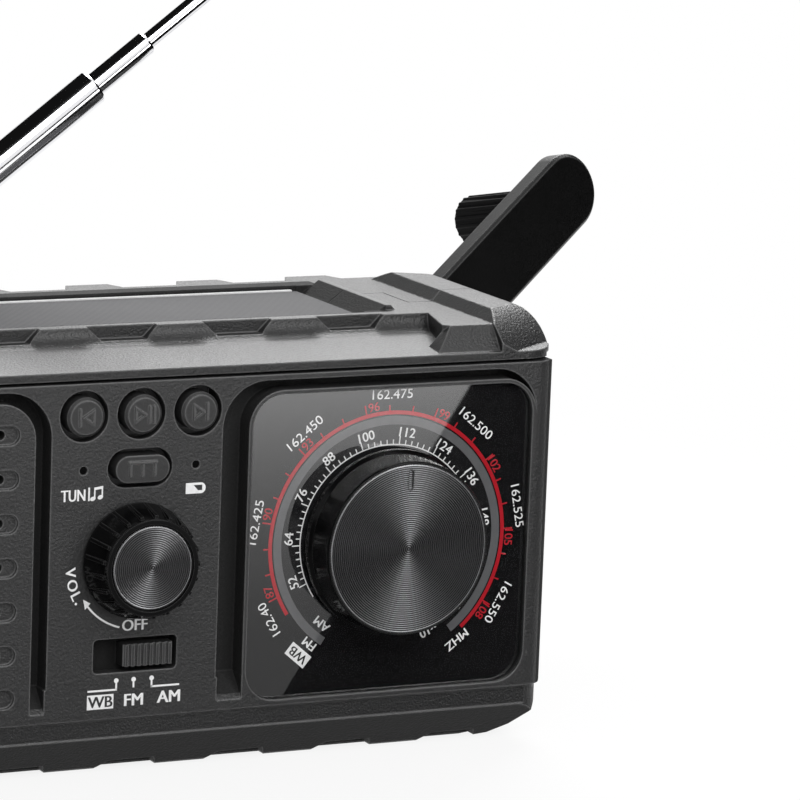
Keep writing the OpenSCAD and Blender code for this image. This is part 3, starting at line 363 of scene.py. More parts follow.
def satin(name, colour, rough, specular=0.5, rub_and_highlight=0.6):
    """Smooth plastic with faint wipe marks, and edges made paler by rubbing and painted highlight."""
    _, sizes, _ = settings()
    finish = Finish(name)
    wipe = finish.noise(12 * MM, detail=3.0)
    # Paler along the edges: partly rubbing, partly painted edge highlight
    wear_and_highlight = finish.edge(sizes.edge * 0.5, gain=3.0)
    tone = finish.tint(wipe, colour, dark=0.8, light=1.25)
    tone = finish.mix(wear_and_highlight * rub_and_highlight, tone, paler(colour, times=5, plus=0.1))
    return finish.principled(
        Base_Color=tone,
        Roughness=rough + 0.05 * (wipe - 0.5),
        Specular_IOR_Level=specular,
        Normal=finish.soft_edge(sizes.edge * 0.7),
    )


def glazed(name, colour):
    """Print that lies right behind the dial's clear cover and shares its gloss."""
    finish = Finish(name)
    uneven = finish.noise(1.5 * MM)
    return finish.principled(
        Base_Color=finish.tint(uneven, colour, dark=0.9, light=1.1),
        Roughness=0.5 + 0.1 * uneven,
        Specular_IOR_Level=0.0,
        Coat_Weight=1.0,
        Coat_Roughness=0.02,
        Coat_IOR=2.2,
    )


def spun(name, colour, centre, edge, lean):
    """Turned metal with fine grooves round a centre, two fans of painted highlight and a painted
    highlight round the rim.

    The painted fans lean to the right by some degrees."""
    _, sizes, _ = settings()
    highlight_rim_width, groove_depth = 0.3 * MM, 0.016 * MM
    finish = Finish(name)
    flat = finish.vector("MULTIPLY", finish.vector("SUBTRACT", finish.place(), centre), (1, 0, 1))
    radius = finish.vector("LENGTH", flat, output="Value")
    groove = (radius * (2 * math.pi / sizes.groove)).sine()
    turn = math.radians(lean)
    along = finish.axis(flat, "X") * math.sin(turn) + finish.axis(flat, "Z") * math.cos(turn)
    # Painted highlight: two opposite fans on the face, along an axis that leans, are made lighter in
    # place of the grooves' sheen
    highlight_fan = along * along / (radius * radius)
    plain = finish.tint(groove * 0.5 + 0.5, colour, dark=0.4, light=0.8)
    highlight_tone = finish.tint(groove * 0.5 + 0.5, colour, dark=0.7, light=1.7)
    tone = finish.mix((highlight_fan * highlight_fan * highlight_fan).clamped(), plain, highlight_tone)
    # Painted highlight: a thin ring along the rim, three times as light
    tone = finish.mix(radius > edge - highlight_rim_width, tone, rgba(colour, scale=3.0))
    return finish.principled(
        Base_Color=tone,
        Metallic=1.0,
        Roughness=0.26 + groove * 0.05,
        Normal=finish.relief(groove, 1.0, groove_depth, finish.soft_edge(sizes.edge)),
    )


def metal(name, colour, rough):
    """Plated or plain metal with faint smudges."""
    finish = Finish(name)
    smudge = finish.noise(9 * MM, detail=4.0)
    tone = finish.tint(smudge, colour, dark=0.92, light=1.04)
    return finish.principled(Base_Color=tone, Metallic=1.0, Roughness=rough + 0.05 * smudge)


def ink(name, colour):
    """Printed ink, a little uneven."""
    finish = Finish(name)
    uneven = finish.noise(0.7 * MM, detail=3.0)
    tone = finish.tint(uneven, colour, dark=0.86, light=1.08)
    return finish.principled(Base_Color=tone, Roughness=0.5 + 0.1 * uneven)


def clear(name, index):
    """Clear glossy plastic, thin enough not to bend what is behind it."""
    finish = Finish(name)
    gloss = finish.node("ShaderNodeBsdfGlossy", None, {"Color": WHITE, "Roughness": 0.02})
    through = finish.node("ShaderNodeBsdfTransparent", None, {"Color": grey(0.99)})
    share = finish.node("ShaderNodeFresnel", None, {"IOR": index})
    return finish.surface(finish.between(share, through, gloss))


def hatched(name, colour):
    """Solar cells under resin, ruled with fine slanting lines."""
    _, sizes, _ = settings()
    slant, line_depth = 0.55, 0.05 * MM
    finish = Finish(name)
    place = finish.place()
    across = finish.axis(place, "X") + finish.axis(place, "Y") * slant
    line = (across * (2 * math.pi / sizes.hatch)).sine()
    cloud = finish.noise(2 * MM, detail=4.0)
    return finish.principled(
        Base_Color=finish.tint(line * 0.4 + 0.3 + cloud * 0.3, colour, dark=0.5, light=1.6),
        Roughness=0.5 + 0.12 * cloud,
        Specular_IOR_Level=0.12,
        Normal=finish.relief(line, 0.25, line_depth, finish.soft_edge(sizes.edge)),
    )


def lacquered(name, ground, tracks):
    """Lacquered circuit board with paler tracks."""
    finish = Finish(name)
    track = finish.noise(2.4 * MM, detail=1.0) > 0.56
    tone = finish.mix(track, rgba(ground), rgba(tracks))
    return finish.principled(Base_Color=tone, Roughness=0.35 + track * 0.1)


def dress(material, *nodes):
    """Gives CAD nodes a finish."""
    for name in nodes:
        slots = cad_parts[name].data.materials
        slots.clear()
        slots.append(material)


# Mesh pieces. Prints that overlap differ a little in thickness, so that no two faces lie in one plane


def add_piece(name, mesh, material, body):
    """Makes a piece of the radio from a bmesh and lets it ride on a body."""
    data = bpy.data.meshes.new(name)
    bmesh.ops.recalc_face_normals(mesh, faces=mesh.faces)
    mesh.to_mesh(data)
    mesh.free()
    data.materials.append(material)
    piece = bpy.data.objects.new(name, data)
    bpy.context.scene.collection.objects.link(piece)
    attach(piece, body)
    return piece


def slab(mesh, outline, y, thickness):
    """Adds a thin plate whose outline is given in X and Z and whose back lies at y."""
    near = [mesh.verts.new((x, y - thickness, z)) for x, z in outline]
    far = [mesh.verts.new((x, y, z)) for x, z in outline]
    mesh.faces.new(near)
    mesh.faces.new(reversed(far))
    for i, corner in enumerate(near):
        after = (i + 1) % len(near)
        mesh.faces.new((corner, far[i], far[after], near[after]))


def on_clock(centre, radius, degrees):
    """X and Z of a point round a centre, by clock angle from the top."""
    turn = math.radians(degrees)
    return centre.x + radius * math.sin(turn), centre.z + radius * math.cos(turn)


def arc_outline(centre, inner, outer, start, end):
    """Outline of a curved strip between two clock angles."""
    _, _, light = settings()
    count = max(2, int(abs(end - start) * light.steps))
    angles = [start + (end - start) * i / count for i in range(count + 1)]
    far_side = [on_clock(centre, outer, a) for a in angles]
    return far_side + [on_clock(centre, inner, a) for a in reversed(angles)]


def tick_outline(centre, inner, outer, degrees, width):
    """Outline of a straight tick along a radius."""
    half = math.degrees(width / 2 / outer)
    near = math.degrees(width / 2 / inner)
    return [
        on_clock(centre, outer, degrees - half),
        on_clock(centre, outer, degrees + half),
        on_clock(centre, inner, degrees + near),
        on_clock(centre, inner, degrees - near),
    ]


def box_outline(left, right, low, high):
    """Outline of an upright box."""
    return [(left, low), (right, low), (right, high), (left, high)]


def leaning(x, z, across, up, lean):
    """X and Z of a point beside and above another, in a frame that leans."""
    return (
        x + across * math.cos(lean) - up * math.sin(lean),
        z + across * math.sin(lean) + up * math.cos(lean),
    )


def oval_outline(x, z, half_x, half_z, lean=0.0, count=20):
    """Outline of an oval."""
    turns = [2 * math.pi * i / count for i in range(count)]
    return [leaning(x, z, half_x * math.cos(t), half_z * math.sin(t), lean) for t in turns]


def in_metres(points):
    """Points whose numbers were in millimetres."""
    return [(x * MM, z * MM) for x, z in points]


def lettering(mesh, text, height, x, y, z, degrees=0.0, bold=0.0, squeeze=1.0):
    """Adds printed text, centred at x and z with its back at y, turned clockwise by some degrees.

    Bold text is struck twice, that far apart."""
    _, sizes, _ = settings()
    curve = bpy.data.curves.new("lettering", "FONT")
    curve.body = text
    curve.align_x = "CENTER"
    curve.resolution_u = 4
    holder = bpy.data.objects.new("lettering", curve)
    bpy.context.scene.collection.objects.link(holder)
    depsgraph = bpy.context.evaluated_depsgraph_get()
    flat = bpy.data.meshes.new_from_object(holder.evaluated_get(depsgraph))
    lows = Vector(min(v.co[i] for v in flat.vertices) for i in range(3))
    highs = Vector(max(v.co[i] for v in flat.vertices) for i in range(3))
    scale = height / (highs.y - lows.y)
    flat.transform(Matrix.Translation(-(lows + highs) / 2))
    flat.transform(Matrix.Diagonal((scale * squeeze, scale, scale, 1)))
    turn = Matrix.Rotation(math.radians(degrees), 4, "Y") @ Matrix.Rotation(math.pi / 2, 4, "X")
    flat.transform(Matrix.Translation((x, y, z)) @ turn @ Matrix.Translation((-bold / 2, 0, 0)))
    aside = turn.to_3x3() @ Vector((bold, 0, 0))
    for strike in range(2 if bold else 1):
        first = len(mesh.faces)
        mesh.from_mesh(flat)
        mesh.faces.ensure_lookup_table()
        sheet = mesh.faces[first:]
        raised = bmesh.ops.extrude_face_region(mesh, geom=sheet, use_keep_orig=True)
        corners = [g for g in raised["geom"] if isinstance(g, bmesh.types.BMVert)]
        bmesh.ops.translate(mesh, verts=corners, vec=(0, -sizes.ink * (1 - 0.2 * strike), 0))
        flat.transform(Matrix.Translation(aside))
    bpy.data.objects.remove(holder)
    bpy.data.curves.remove(curve)
    bpy.data.meshes.remove(flat)


def level(z, *points):
    """Corners of a level sheet."""
    return [(x, y, z) for x, y in points]


def upright(start, end, low, high):
    """Corners of an upright sheet over a line."""
    return [(*start, low), (*end, low), (*end, high), (*start, high)]


# Operators


class RADIO_OT_stage(bpy.types.Operator):
    """Floor, lamps, surroundings and camera"""

    bl_idname = "radio.stage"
    bl_label = "Stage"

    # Camera fitted to the photograph: place, and its forward, right and up directions
    place = Vector((-0.315075, -0.763508, 0.214898))
    forward = Vector((0.4378, 0.8801, -0.1836))
    right = Vector((0.8975, -0.4385, 0.0373))
    up = Vector((0.0476, 0.1811, 0.9818))

    # Width of the sensor in millimetres, and the nearest and farthest distance that the camera shows
    sensor, nearest, farthest = 36, 0.05, 20

    # Size, place and target of each lamp
    key = ((0.5, 0.4), (0.38, 0.52, 0.66), (0, 0, 0.06))
    fill = ((0.8, 0.5), (0.0, -0.66, 0.62), (0.0, -0.03, 0.04))

    # Half the floor's width, the share of white that it shows by itself, and its growth with distance
    reach = 3
    whiteness = 0.84
    fade = 0.5

    # Corners of the cards
    dark_cards = {
        "floor_card": level(0.0005, (0.0288, -0.044), (0.7, -0.044), (0.7, -0.6), (0.389, -0.6)),
        "roof_card": level(0.72, (-0.7, -0.55), (0.09, -0.55), (0.09, 1.8), (-0.7, 1.8)),
        "side_card": upright((0.75, -1.0), (0.75, 0.9), 0.02, 0.8),
        "left_card": upright((-0.8, -1.2), (-0.8, 0.7), 0.01, 0.25),
        "front_card": upright((-1.2, -1.2), (1.2, -1.2), 0.01, 0.15),
    }
    pale_cards = {
        "pale_card": level(0.0004, (-0.09, -0.044), (0.036, -0.044), (0.395, -0.6), (-0.09, -0.6)),
        # Painted shadow: a grey card under the radio, seen in reflections in place of the white floor
        "floor_shadow_card": level(0.0003, (-0.1, -0.046), (0.1, -0.046), (0.1, 0.05), (-0.1, 0.05)),
    }
    bright_cards = {"soft_box": upright((0.225, -0.492), (0.315, -0.448), 0.012, 0.42)}

    # Distance in front of the radio at which the pale cards start to brighten, and over how much more
    dusk, dawn = 0.08, 0.26

    def camera(self, light):
        """Camera of the photograph."""
        data = bpy.data.cameras.new("view")
        data.lens = light.lens
        data.sensor_width = self.sensor
        data.clip_start = self.nearest
        data.clip_end = self.farthest
        holder = bpy.data.objects.new("view", data)
        turn = Matrix((self.right.normalized(), self.up.normalized(), -self.forward.normalized()))
        holder.matrix_world = Matrix.Translation(self.place) @ turn.transposed().to_4x4()
        bpy.context.scene.collection.objects.link(holder)
        bpy.context.scene.camera = holder

    def lamp(self, name, power, size, place, target):
        """Soft lamp that looks at a point."""
        data = bpy.data.lights.new(name, "AREA")
        data.shape = "RECTANGLE"
        data.size, data.size_y = size
        data.energy = power
        holder = bpy.data.objects.new(name, data)
        holder.location = place
        aim = Vector(target) - Vector(place)
        holder.rotation_euler = aim.to_track_quat("-Z", "Y").to_euler()
        bpy.context.scene.collection.objects.link(holder)

    def sheet(self, name, corners, material):
        """Flat piece of the stage."""
        mesh = bmesh.new()
        mesh.faces.new([mesh.verts.new(c) for c in corners])
        data = bpy.data.meshes.new(name)
        mesh.to_mesh(data)
        mesh.free()
        data.materials.append(material)
        holder = bpy.data.objects.new(name, data)
        bpy.context.scene.collection.objects.link(holder)
        return holder

    def floor(self, colours):
        """Pale floor that looks white and keeps the radio's shadow."""
        finish = Finish("floor")
        tone = finish.tint(finish.noise(3 * MM), colours.floor, dark=0.985, light=1.015)
        paper = finish.node("ShaderNodeBsdfDiffuse", None, {"Color": tone})
        distance = finish.vector("LENGTH", finish.place(), output="Value")
        share = finish.seen() * (self.whiteness + distance * self.fade).clamped()
        material = finish.surface(finish.between(share, paper, finish.glow(WHITE, 1.0)))
        material.cycles.emission_sampling = "NONE"
        far = self.reach
        self.sheet("floor", level(0, (-far, -far), (far, -far), (far, far), (-far, far)), material)

    def card(self, name, corners, material):
        """A card that only reflections see."""
        card = self.sheet(name, corners, material)
        card.visible_camera = False
        card.visible_diffuse = False
        card.visible_shadow = False
        card.visible_transmission = False

    def cards(self):
        """Cards for the gloss of the dial, the chrome, the crank arm and the spun faces."""
        felt = Finish("dark_card")
        tone = felt.mix(felt.noise(40 * MM), grey(0.005), grey(0.008))
        felt.surface(felt.glow(tone, 1.0))
        paper = Finish("pale_card")
        ahead = paper.axis(paper.place(), "Y") * -1
        far = ((ahead - self.dusk) / self.dawn).clamped()
        paper.surface(paper.glow(paper.mix(far * far, grey(0.2), WHITE), 1.4))
        cloth = Finish("soft_box")
        tone = cloth.mix(cloth.noise(60 * MM), grey(0.9), WHITE)
        cloth.surface(cloth.glow(tone, 5.0))
        kinds = ((felt, self.dark_cards), (paper, self.pale_cards), (cloth, self.bright_cards))
        for finish, cards in kinds:
            finish.owner.cycles.emission_sampling = "NONE"
            for name, corners in cards.items():
                self.card(name, corners, finish.owner)

    def surroundings(self, light):
        """Dim light from all round that looks white."""
        finish = Surroundings("surroundings")
        dim, white = (
            finish.node("ShaderNodeBackground", None, {"Color": WHITE, "Strength": strength})
            for strength in (light.room, 1.0)
        )
        finish.surface(finish.between(finish.seen(), dim, white))

    def execute(self, context):
        colours, _, light = settings()
        context.scene.view_settings.view_transform = "Standard"
        self.camera(light)
        self.lamp("key", light.key, *self.key)
        self.lamp("fill", light.fill, *self.fill)
        self.floor(colours)
        self.cards()
        self.surroundings(light)
        return {"FINISHED"}


class RADIO_OT_case(bpy.types.Operator):
    """Grained plastic of the shells and the front panel, and paper of the speaker"""

    bl_idname = "radio.case"
    bl_label = "Case and panel"

    # Depth below the panel's face from which the channels and slots are painted black as shade
    channel_depth = 0.8 * MM

    # How far the recess round the solar panel, painted dark as shade, reaches past it, and how much
    # farther at the back
    recess_reach = Vector((4.6 * MM, 0.6 * MM, 4 * MM))
    recess_back = Vector((0, 3.4 * MM, 0))

    def execute(self, context):
        colours, _, _ = settings()
        low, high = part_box("solar_panel")
        recess = (low - self.recess_reach, high + self.recess_reach + self.recess_back)
        case = moulded("case_plastic", colours.case, rough=0.44, dark=recess)
        dress(case, "front_shell", "rear_shell")
        low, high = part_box("front_panel")
        channels = ((low.x, PANEL_Y + self.channel_depth, low.z), high)
        dress(moulded("panel_plastic", colours.panel, rough=0.46, dark=channels), "front_panel")
        paper = moulded("speaker_paper", colours.soft, rough=0.9, strength=0.6, specular=0.1)
        dress(paper, "speaker_cone")
        return {"FINISHED"}


class RADIO_OT_dial(bpy.types.Operator):
    """Dial plate, its printed scales and the clear lens"""

    bl_idname = "radio.dial"
    bl_label = "Dial"

    # Scales: half width and ends of the arc, first mark and step, ticks to each step with their reach
    # and width, and figures with their shift along and out, height and boldness (degrees, millimetres)
    fm = {
        "half": 0.34, "ends": (-123, 138), "first": -113.6, "step": 33.73,
        "parts": 3, "long": 1.95, "short": 1.3, "width": 0.26,
        "marks": range(87, 109, 3), "shift": 3.9, "lift": 1.35, "height": 1.55, "bold": 0.06,
    }
    am = {
        "half": 0.1, "ends": (-124, 126), "first": -114.5, "step": 24.0,
        "parts": 6, "long": 1.5, "short": 0.85, "width": 0.2,
        "marks": range(52, 173, 12), "shift": 4.0, "lift": 2.2, "height": 1.65, "bold": 0.07,
    }
    weather_first, weather_step, weather_height, weather_stretch = -120.0, 40.0, 1.62 * MM, 1.12
    weather_marks = ("162.40", "162.425", "162.450", "162.475", "162.500", "162.525", "162.550")

    # Words: radius in millimetres and clock angle
    words = (("AM", 18.6, -140), ("FM", 22.6, -141), ("x10", 18.8, 153), ("MHZ", 23.6, 143))
    word_height, word_bold = 1.55 * MM, 0.08 * MM

    # Box of the weather label: radius, clock angle, half width and half height, and its letters
    label_radius, label_turn, label_half = 25.3 * MM, -140, (2.3 * MM, 1.25 * MM)
    label_height, label_bold = 1.6 * MM, 0.1 * MM

    # Ends of the grey band and of the zone inside it, and the radii that bound them
    band_ends = (-146, 143)
    zone_inner, band_inner, band_outer = 8 * MM, 20.1 * MM, 21.6 * MM

    def scale(
        self, mesh, arc, thickness, half, ends, first, step, parts, long, short, width,
        marks, shift, lift, height, bold,
    ):
        """Adds a scale: its arc, ticks and figures."""
        outline = arc_outline(DIAL, arc - half * MM, arc + half * MM, *ends)
        slab(mesh, outline, PLATE_Y, thickness)
        for i in range(parts * (len(marks) - 1) + 1):
            reach = (long if i % parts == 0 else short) * MM
            tick = tick_outline(DIAL, arc, arc + reach, first + step * i / parts, width * MM)
            slab(mesh, tick, PLATE_Y, thickness * 0.9)
        for i, mark in enumerate(marks):
            turn = first + step * i + shift
            x, z = on_clock(DIAL, arc + lift * MM, turn)
            lettering(mesh, str(mark), height * MM, x, PLATE_Y, z, turn, bold * MM)

    def red_print(self, sizes):
        """Red scale."""
        mesh = bmesh.new()
        self.scale(mesh, sizes.red_arc, sizes.ink, **self.fm)
        return mesh

    def white_print(self, sizes):
        """White scale, the figures outside it and the words."""
        mesh = bmesh.new()
        self.scale(mesh, sizes.white_arc, sizes.ink, **self.am)
        for i, mark in enumerate(self.weather_marks):
            turn = self.weather_first + self.weather_step * i
            x, z = on_clock(DIAL, sizes.figures, turn)
            stretch = self.weather_stretch
            lettering(mesh, mark, self.weather_height, x, PLATE_Y, z, turn, squeeze=stretch)
        for text, radius, turn in self.words:
            x, z = on_clock(DIAL, radius * MM, turn)
            lettering(mesh, text, self.word_height, x, PLATE_Y, z, turn, self.word_bold)
        return mesh

    def weather_label(self, sizes):
        """Box of the weather label, and its letters."""
        x, z = on_clock(DIAL, self.label_radius, self.label_turn)
        lean = math.radians(-self.label_turn)
        half_w, half_h = self.label_half
        corners = box_outline(-half_w, half_w, -half_h, half_h)
        plate = bmesh.new()
        slab(plate, [leaning(x, z, *corner, lean) for corner in corners], PLATE_Y, sizes.ink)
        letters = bmesh.new()
        y = PLATE_Y - sizes.ink
        lettering(letters, "WB", self.label_height, x, y, z, self.label_turn, self.label_bold)
        return plate, letters

    def execute(self, context):
        colours, sizes, _ = settings()
        dress(glazed("dial_ground", colours.dial), "dial_plate")
        dress(clear("dial_clear", index=1.005), "dial_lens")
        band = bmesh.new()
        outline = arc_outline(DIAL, self.band_inner, self.band_outer, *self.band_ends)
        slab(band, outline, PLATE_Y, sizes.ink * 0.5)
        add_piece("dial_band", band, glazed("dial_grey", colours.band), "radio")
        zone = bmesh.new()
        outline = arc_outline(DIAL, self.zone_inner, self.band_inner, *self.band_ends)
        slab(zone, outline, PLATE_Y, sizes.ink * 0.3)
        dark_grey = glazed("dial_dark_grey", [c * 1.7 for c in colours.dial])
        add_piece("dial_zone", zone, dark_grey, "radio")
        red = glazed("red_ink", colours.red)
        add_piece("dial_red", self.red_print(sizes), red, "radio")
        white = glazed("dial_white_ink", colours.white)
        add_piece("dial_white", self.white_print(sizes), white, "radio")
        plate, letters = self.weather_label(sizes)
        add_piece("dial_label", plate, white, "radio")
        dark = glazed("dark_ink", colours.dial)
        add_piece("dial_label_letters", letters, dark, "radio")
        return {"FINISHED"}


class RADIO_OT_knobs(bpy.types.Operator):
    """Tuning knob and volume knob with their spun faces"""

    bl_idname = "radio.knobs"
    bl_label = "Knobs"

    # Middle of each spun face, and the lean of its two fans of painted highlight in degrees
    faces = (("tuning_cap", DIAL, 8), ("volume_cap", VOLUME, 22))

    def execute(self, context):
        colours, _, _ = settings()
        skirt = satin("knob_skirt", colours.knob, rough=0.14, specular=0.1)
        dress(skirt, "tuning_knob", "volume_knob")
        for name, centre, lean in self.faces:
            low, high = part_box(name)
            edge = (high.x - low.x) / 2
            dress(spun(name + "_face", colours.spun, tuple(centre), edge, lean), name)
        return {"FINISHED"}


class RADIO_OT_buttons(bpy.types.Operator):
    """Buttons, band switch, indicator lights and the flap over the sockets"""

    bl_idname = "radio.buttons"
    bl_label = "Buttons and switch"

    # Depth of the buttons' raised marks, which are painted dark as shade, and height of the slider's
    # ribs, behind whose tops the slider is painted dark as shade
    mark_depth = 0.24 * MM
    slider_height = 0.55 * MM

    def execute(self, context):
        colours, _, _ = settings()
        for name in ("button_previous", "button_play", "button_next", "button_mode"):
            low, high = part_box(name)
            # Painted shade: the raised marks on each button's face are darkened
            marks = (low, (high.x, low.y + self.mark_depth, high.z))
            rubber = name + "_rubber"
            dress(moulded(rubber, colours.soft, 0.5, strength=0.4, specular=0.5, dark=marks), name)
        dress(moulded("flap_rubber", colours.soft, rough=0.6, strength=0.3), "port_cover")
        low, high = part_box("band_slider")
        # Painted shade: the slider is darkened everywhere behind the tops of its ribs
        shade = ((low.x, low.y + self.slider_height, low.z), high)
        slider = moulded(
            "slider_plastic", colours.soft, rough=0.45, strength=0.3, specular=0.4, dark=shade
        )
        dress(slider, "band_slider")
        smoke = [c * 0.3 for c in colours.knob]
        dress(satin("smoked_light", smoke, rough=0.6, specular=0.05), "light_pipes")
        return {"FINISHED"}


class RADIO_OT_panel_print(bpy.types.Operator):
    """White marks printed on the front panel"""

    bl_idname = "radio.panel_print"
    bl_label = "Panel print"

    # All in millimetres: bars by left, right, low and high, other outlines and dots by X and Z
    note_bars = ((-9.25, -8.95, 48.2, 50.5), (-8.2, -7.95, 48.6, 50.4), (-6.85, -6.6, 48.8, 50.6))
    note_beam = ((-8.2, 50.0), (-6.6, 50.2), (-6.6, 50.65), (-8.2, 50.45))
    note_heads = ((-8.4, 48.55), (-7.05, 48.75))
    battery = (8.45, 11.25, 48.4, 50.25)
    battery_notch = ((9.9, 49.85), (11.45, 49.85), (11.45, 48.95), (10.7, 48.95))
    band_bars = (
        (-8.45, -3.1, 15.28, 15.6),
        (-3.42, -3.1, 15.5, 17.0),
        (-0.26, 0.06, 15.6, 17.0),
        (3.05, 3.37, 15.5, 17.0),
        (3.05, 8.3, 15.38, 15.7),
    )
    band_dots = ((-3.27, 17.0), (-0.1, 17.0), (3.2, 17.0))
    weather_box = (-8.5, -3.7, 12.25, 14.75)

    # Half widths and half heights of the notes' heads, of the dots and of the stop after VOL
    head_half = (0.5 * MM, 0.36 * MM)
    dot_half = (0.42 * MM, 0.42 * MM)
    stop_half = (0.22 * MM, 0.22 * MM)

    # Round the volume knob: clock angles and radii of the letters, their stop and the arrow
    volume_letters, letter_radius = (("V", -95), ("O", -105.5), ("L", -115)), 12.3 * MM
    stop_turn, stop_radius = -120, 12.9 * MM
    arrow_head = ((11.46, -120.5), (12.15, -128.5), (10.75, -127.5))
    arrow_inner, arrow_outer, arrow_ends = 11.3 * MM, 11.62 * MM, (-127, -164)

    def bar(self, mesh, sides, sizes):
        """Adds an upright or level bar."""
        slab(mesh, box_outline(*(side * MM for side in sides)), PANEL_Y, sizes.ink)

    def words(self, mesh, text, height, x, z, bold, squeeze=1.0):
        """Adds level text at a place in millimetres."""
        lettering(mesh, text, height, x * MM, PANEL_Y, z * MM, 0, bold * MM, squeeze)

    def tune_label(self, mesh, sizes):
        """TUN, a stroke and a note."""
        self.words(mesh, "TUN", sizes.letters * 0.95, -11.95, 49.25, bold=0.12, squeeze=0.76)
        for sides in self.note_bars:
            self.bar(mesh, sides, sizes)
        slab(mesh, in_metres(self.note_beam), PANEL_Y, sizes.ink * 1.2)
        for x, z in in_metres(self.note_heads):
            head = oval_outline(x, z, *self.head_half, lean=0.4)
            slab(mesh, head, PANEL_Y, sizes.ink * 1.1)

    def battery_label(self, mesh, sizes):
        """Body and round tip of the battery sign."""
        _, right, low, high = self.battery
        self.bar(mesh, self.battery, sizes)
        tip = oval_outline(right * MM, (low + high) / 2 * MM, 0.85 * MM, (high - low) / 2 * MM)
        slab(mesh, tip, PANEL_Y, sizes.ink * 0.9)

    def volume_label(self, mesh, sizes):
        """VOL with its stop, the arrow and OFF."""
        for letter, turn in self.volume_letters:
            x, z = on_clock(VOLUME_MARKS, self.letter_radius, turn)
            lettering(mesh, letter, sizes.letters * 0.88, x, PANEL_Y, z, turn + 180, 0.12 * MM)
        x, z = on_clock(VOLUME_MARKS, self.stop_radius, self.stop_turn)
        slab(mesh, oval_outline(x, z, *self.stop_half), PANEL_Y, sizes.ink)
        tail = arc_outline(VOLUME_MARKS, self.arrow_inner, self.arrow_outer, *self.arrow_ends)
        slab(mesh, tail, PANEL_Y, sizes.ink)
        head = [on_clock(VOLUME_MARKS, radius * MM, turn) for radius, turn in self.arrow_head]
        slab(mesh, head, PANEL_Y, sizes.ink * 1.1)
        self.words(mesh, "OFF", sizes.letters * 0.93, -0.15, 26.45, bold=0.14, squeeze=0.98)

    def band_label(self, mesh, sizes):
        """Lines, dots, box and letters under the band switch."""
        for sides in self.band_bars:
            self.bar(mesh, sides, sizes)
        for x, z in in_metres(self.band_dots):
            slab(mesh, oval_outline(x, z, *self.dot_half), PANEL_Y, sizes.ink * 1.2)
        self.bar(mesh, self.weather_box, sizes)
        self.words(mesh, "FM", sizes.letters, 0, 13.5, bold=0.18)
        self.words(mesh, "AM", sizes.letters, 6.4, 13.6, bold=0.18)

    def execute(self, context):
        colours, sizes, _ = settings()
        mesh = bmesh.new()
        self.tune_label(mesh, sizes)
        self.battery_label(mesh, sizes)
        self.volume_label(mesh, sizes)
        self.band_label(mesh, sizes)
        add_piece("panel_marks", mesh, ink("white_ink", colours.white), "radio")
        dark = bmesh.new()
        y = PANEL_Y - sizes.ink
        slab(dark, in_metres(self.battery_notch), y, sizes.ink)
        lettering(dark, "WB", 1.9 * MM, -6.1 * MM, y, 13.5 * MM, bold=0.14 * MM)
        add_piece("panel_mark_letters", dark, ink("panel_ink", colours.panel), "radio")
        return {"FINISHED"}


class RADIO_OT_solar(bpy.types.Operator):
    """Solar panel in the deck and a white strip along its back edge, a painted highlight"""

    bl_idname = "radio.solar"
    bl_label = "Solar panel"

    # The white strip painted as a highlight along the panel's back edge: its distance from the panel's
    # ends, how far it hangs below and stands above the panel's face, and its thickness
    inset, below, above, thickness = MM, 0.5 * MM, 0.25 * MM, 0.9 * MM

    def execute(self, context):
        colours, _, _ = settings()
        dress(hatched("solar_cells", colours.cells), "solar_panel")
        low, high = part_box("solar_panel")
        left, right = low.x + self.inset, high.x - self.inset
        # Painted highlight: a strip of white ink along the back edge of the solar panel
        edge = bmesh.new()
        outline = box_outline(left, right, high.z - self.below, high.z + self.above)
        slab(edge, outline, high.y, self.thickness)
        add_piece("solar_edge_highlight", edge, bpy.data.materials["white_ink"], "radio")
        return {"FINISHED"}


class RADIO_OT_crank(bpy.types.Operator):
    """Crank arm, hub and knob, and plated steel of the pins, gear plate and generator"""

    bl_idname = "radio.crank"
    bl_label = "Crank"

    steel = (0.6, 0.6, 0.62)

    def execute(self, context):
        colours, _, _ = settings()
        dark = [c * 0.2 for c in colours.case]
        arm = moulded("crank_plastic", dark, rough=0.36, strength=0.3, specular=0.26)
        dress(arm, "crank_arm", "crank_hub")
        knob = satin("crank_knob_plastic", colours.knob, rough=0.4, specular=0.06, rub_and_highlight=0.12)
        dress(knob, "crank_knob")
        plated = metal("plated_steel", self.steel, rough=0.28)
        dress(plated, "hinge_pin", "knob_pin", "crank_shaft", "idler_pin", "antenna_pin")
        dress(plated, "gear_plate", "generator")
        return {"FINISHED"}


class RADIO_OT_antenna(bpy.types.Operator):
    """Chrome tubes of the antenna and their bracket"""

    bl_idname = "radio.antenna"
    bl_label = "Antenna"

    def execute(self, context):
        colours, _, _ = settings()
        chrome = metal("chrome", colours.chrome, rough=0.05)
        dress(chrome, "antenna_tube_1", "antenna_tube_2", "antenna_tube_3")
        bracket = satin("bracket_plastic", colours.knob, rough=0.4, specular=0.3)
        dress(bracket, "antenna_bracket")
        return {"FINISHED"}


class RADIO_OT_back(bpy.types.Operator):
    """Battery door, screws, sockets and torch"""

    bl_idname = "radio.back"
    bl_label = "Back and torch"

    screw_steel, socket_steel = (0.4, 0.4, 0.42), (0.7, 0.7, 0.7)
    silver, cream = (0.9, 0.9, 0.9), (0.75, 0.72, 0.6)

    def execute(self, context):
        colours, _, _ = settings()
        dress(moulded("door_plastic", colours.case, rough=0.5), "battery_door", "battery_holder")
        screws = metal("screw_steel", self.screw_steel, rough=0.35)
        dress(screws, "case_screws", "door_screw", "plate_screws", "board_screws")
        dress(screws, "battery_contacts")
        sockets = metal("socket_steel", self.socket_steel, rough=0.25)
        dress(sockets, "charge_socket", "output_socket")
        dress(clear("torch_clear", index=1.49), "flash_lens")
        dress(metal("reflector_silver", self.silver, rough=0.08), "flash_reflector")
        dress(satin("torch_board", self.cream, rough=0.4), "flash_board")
        return {"FINISHED"}


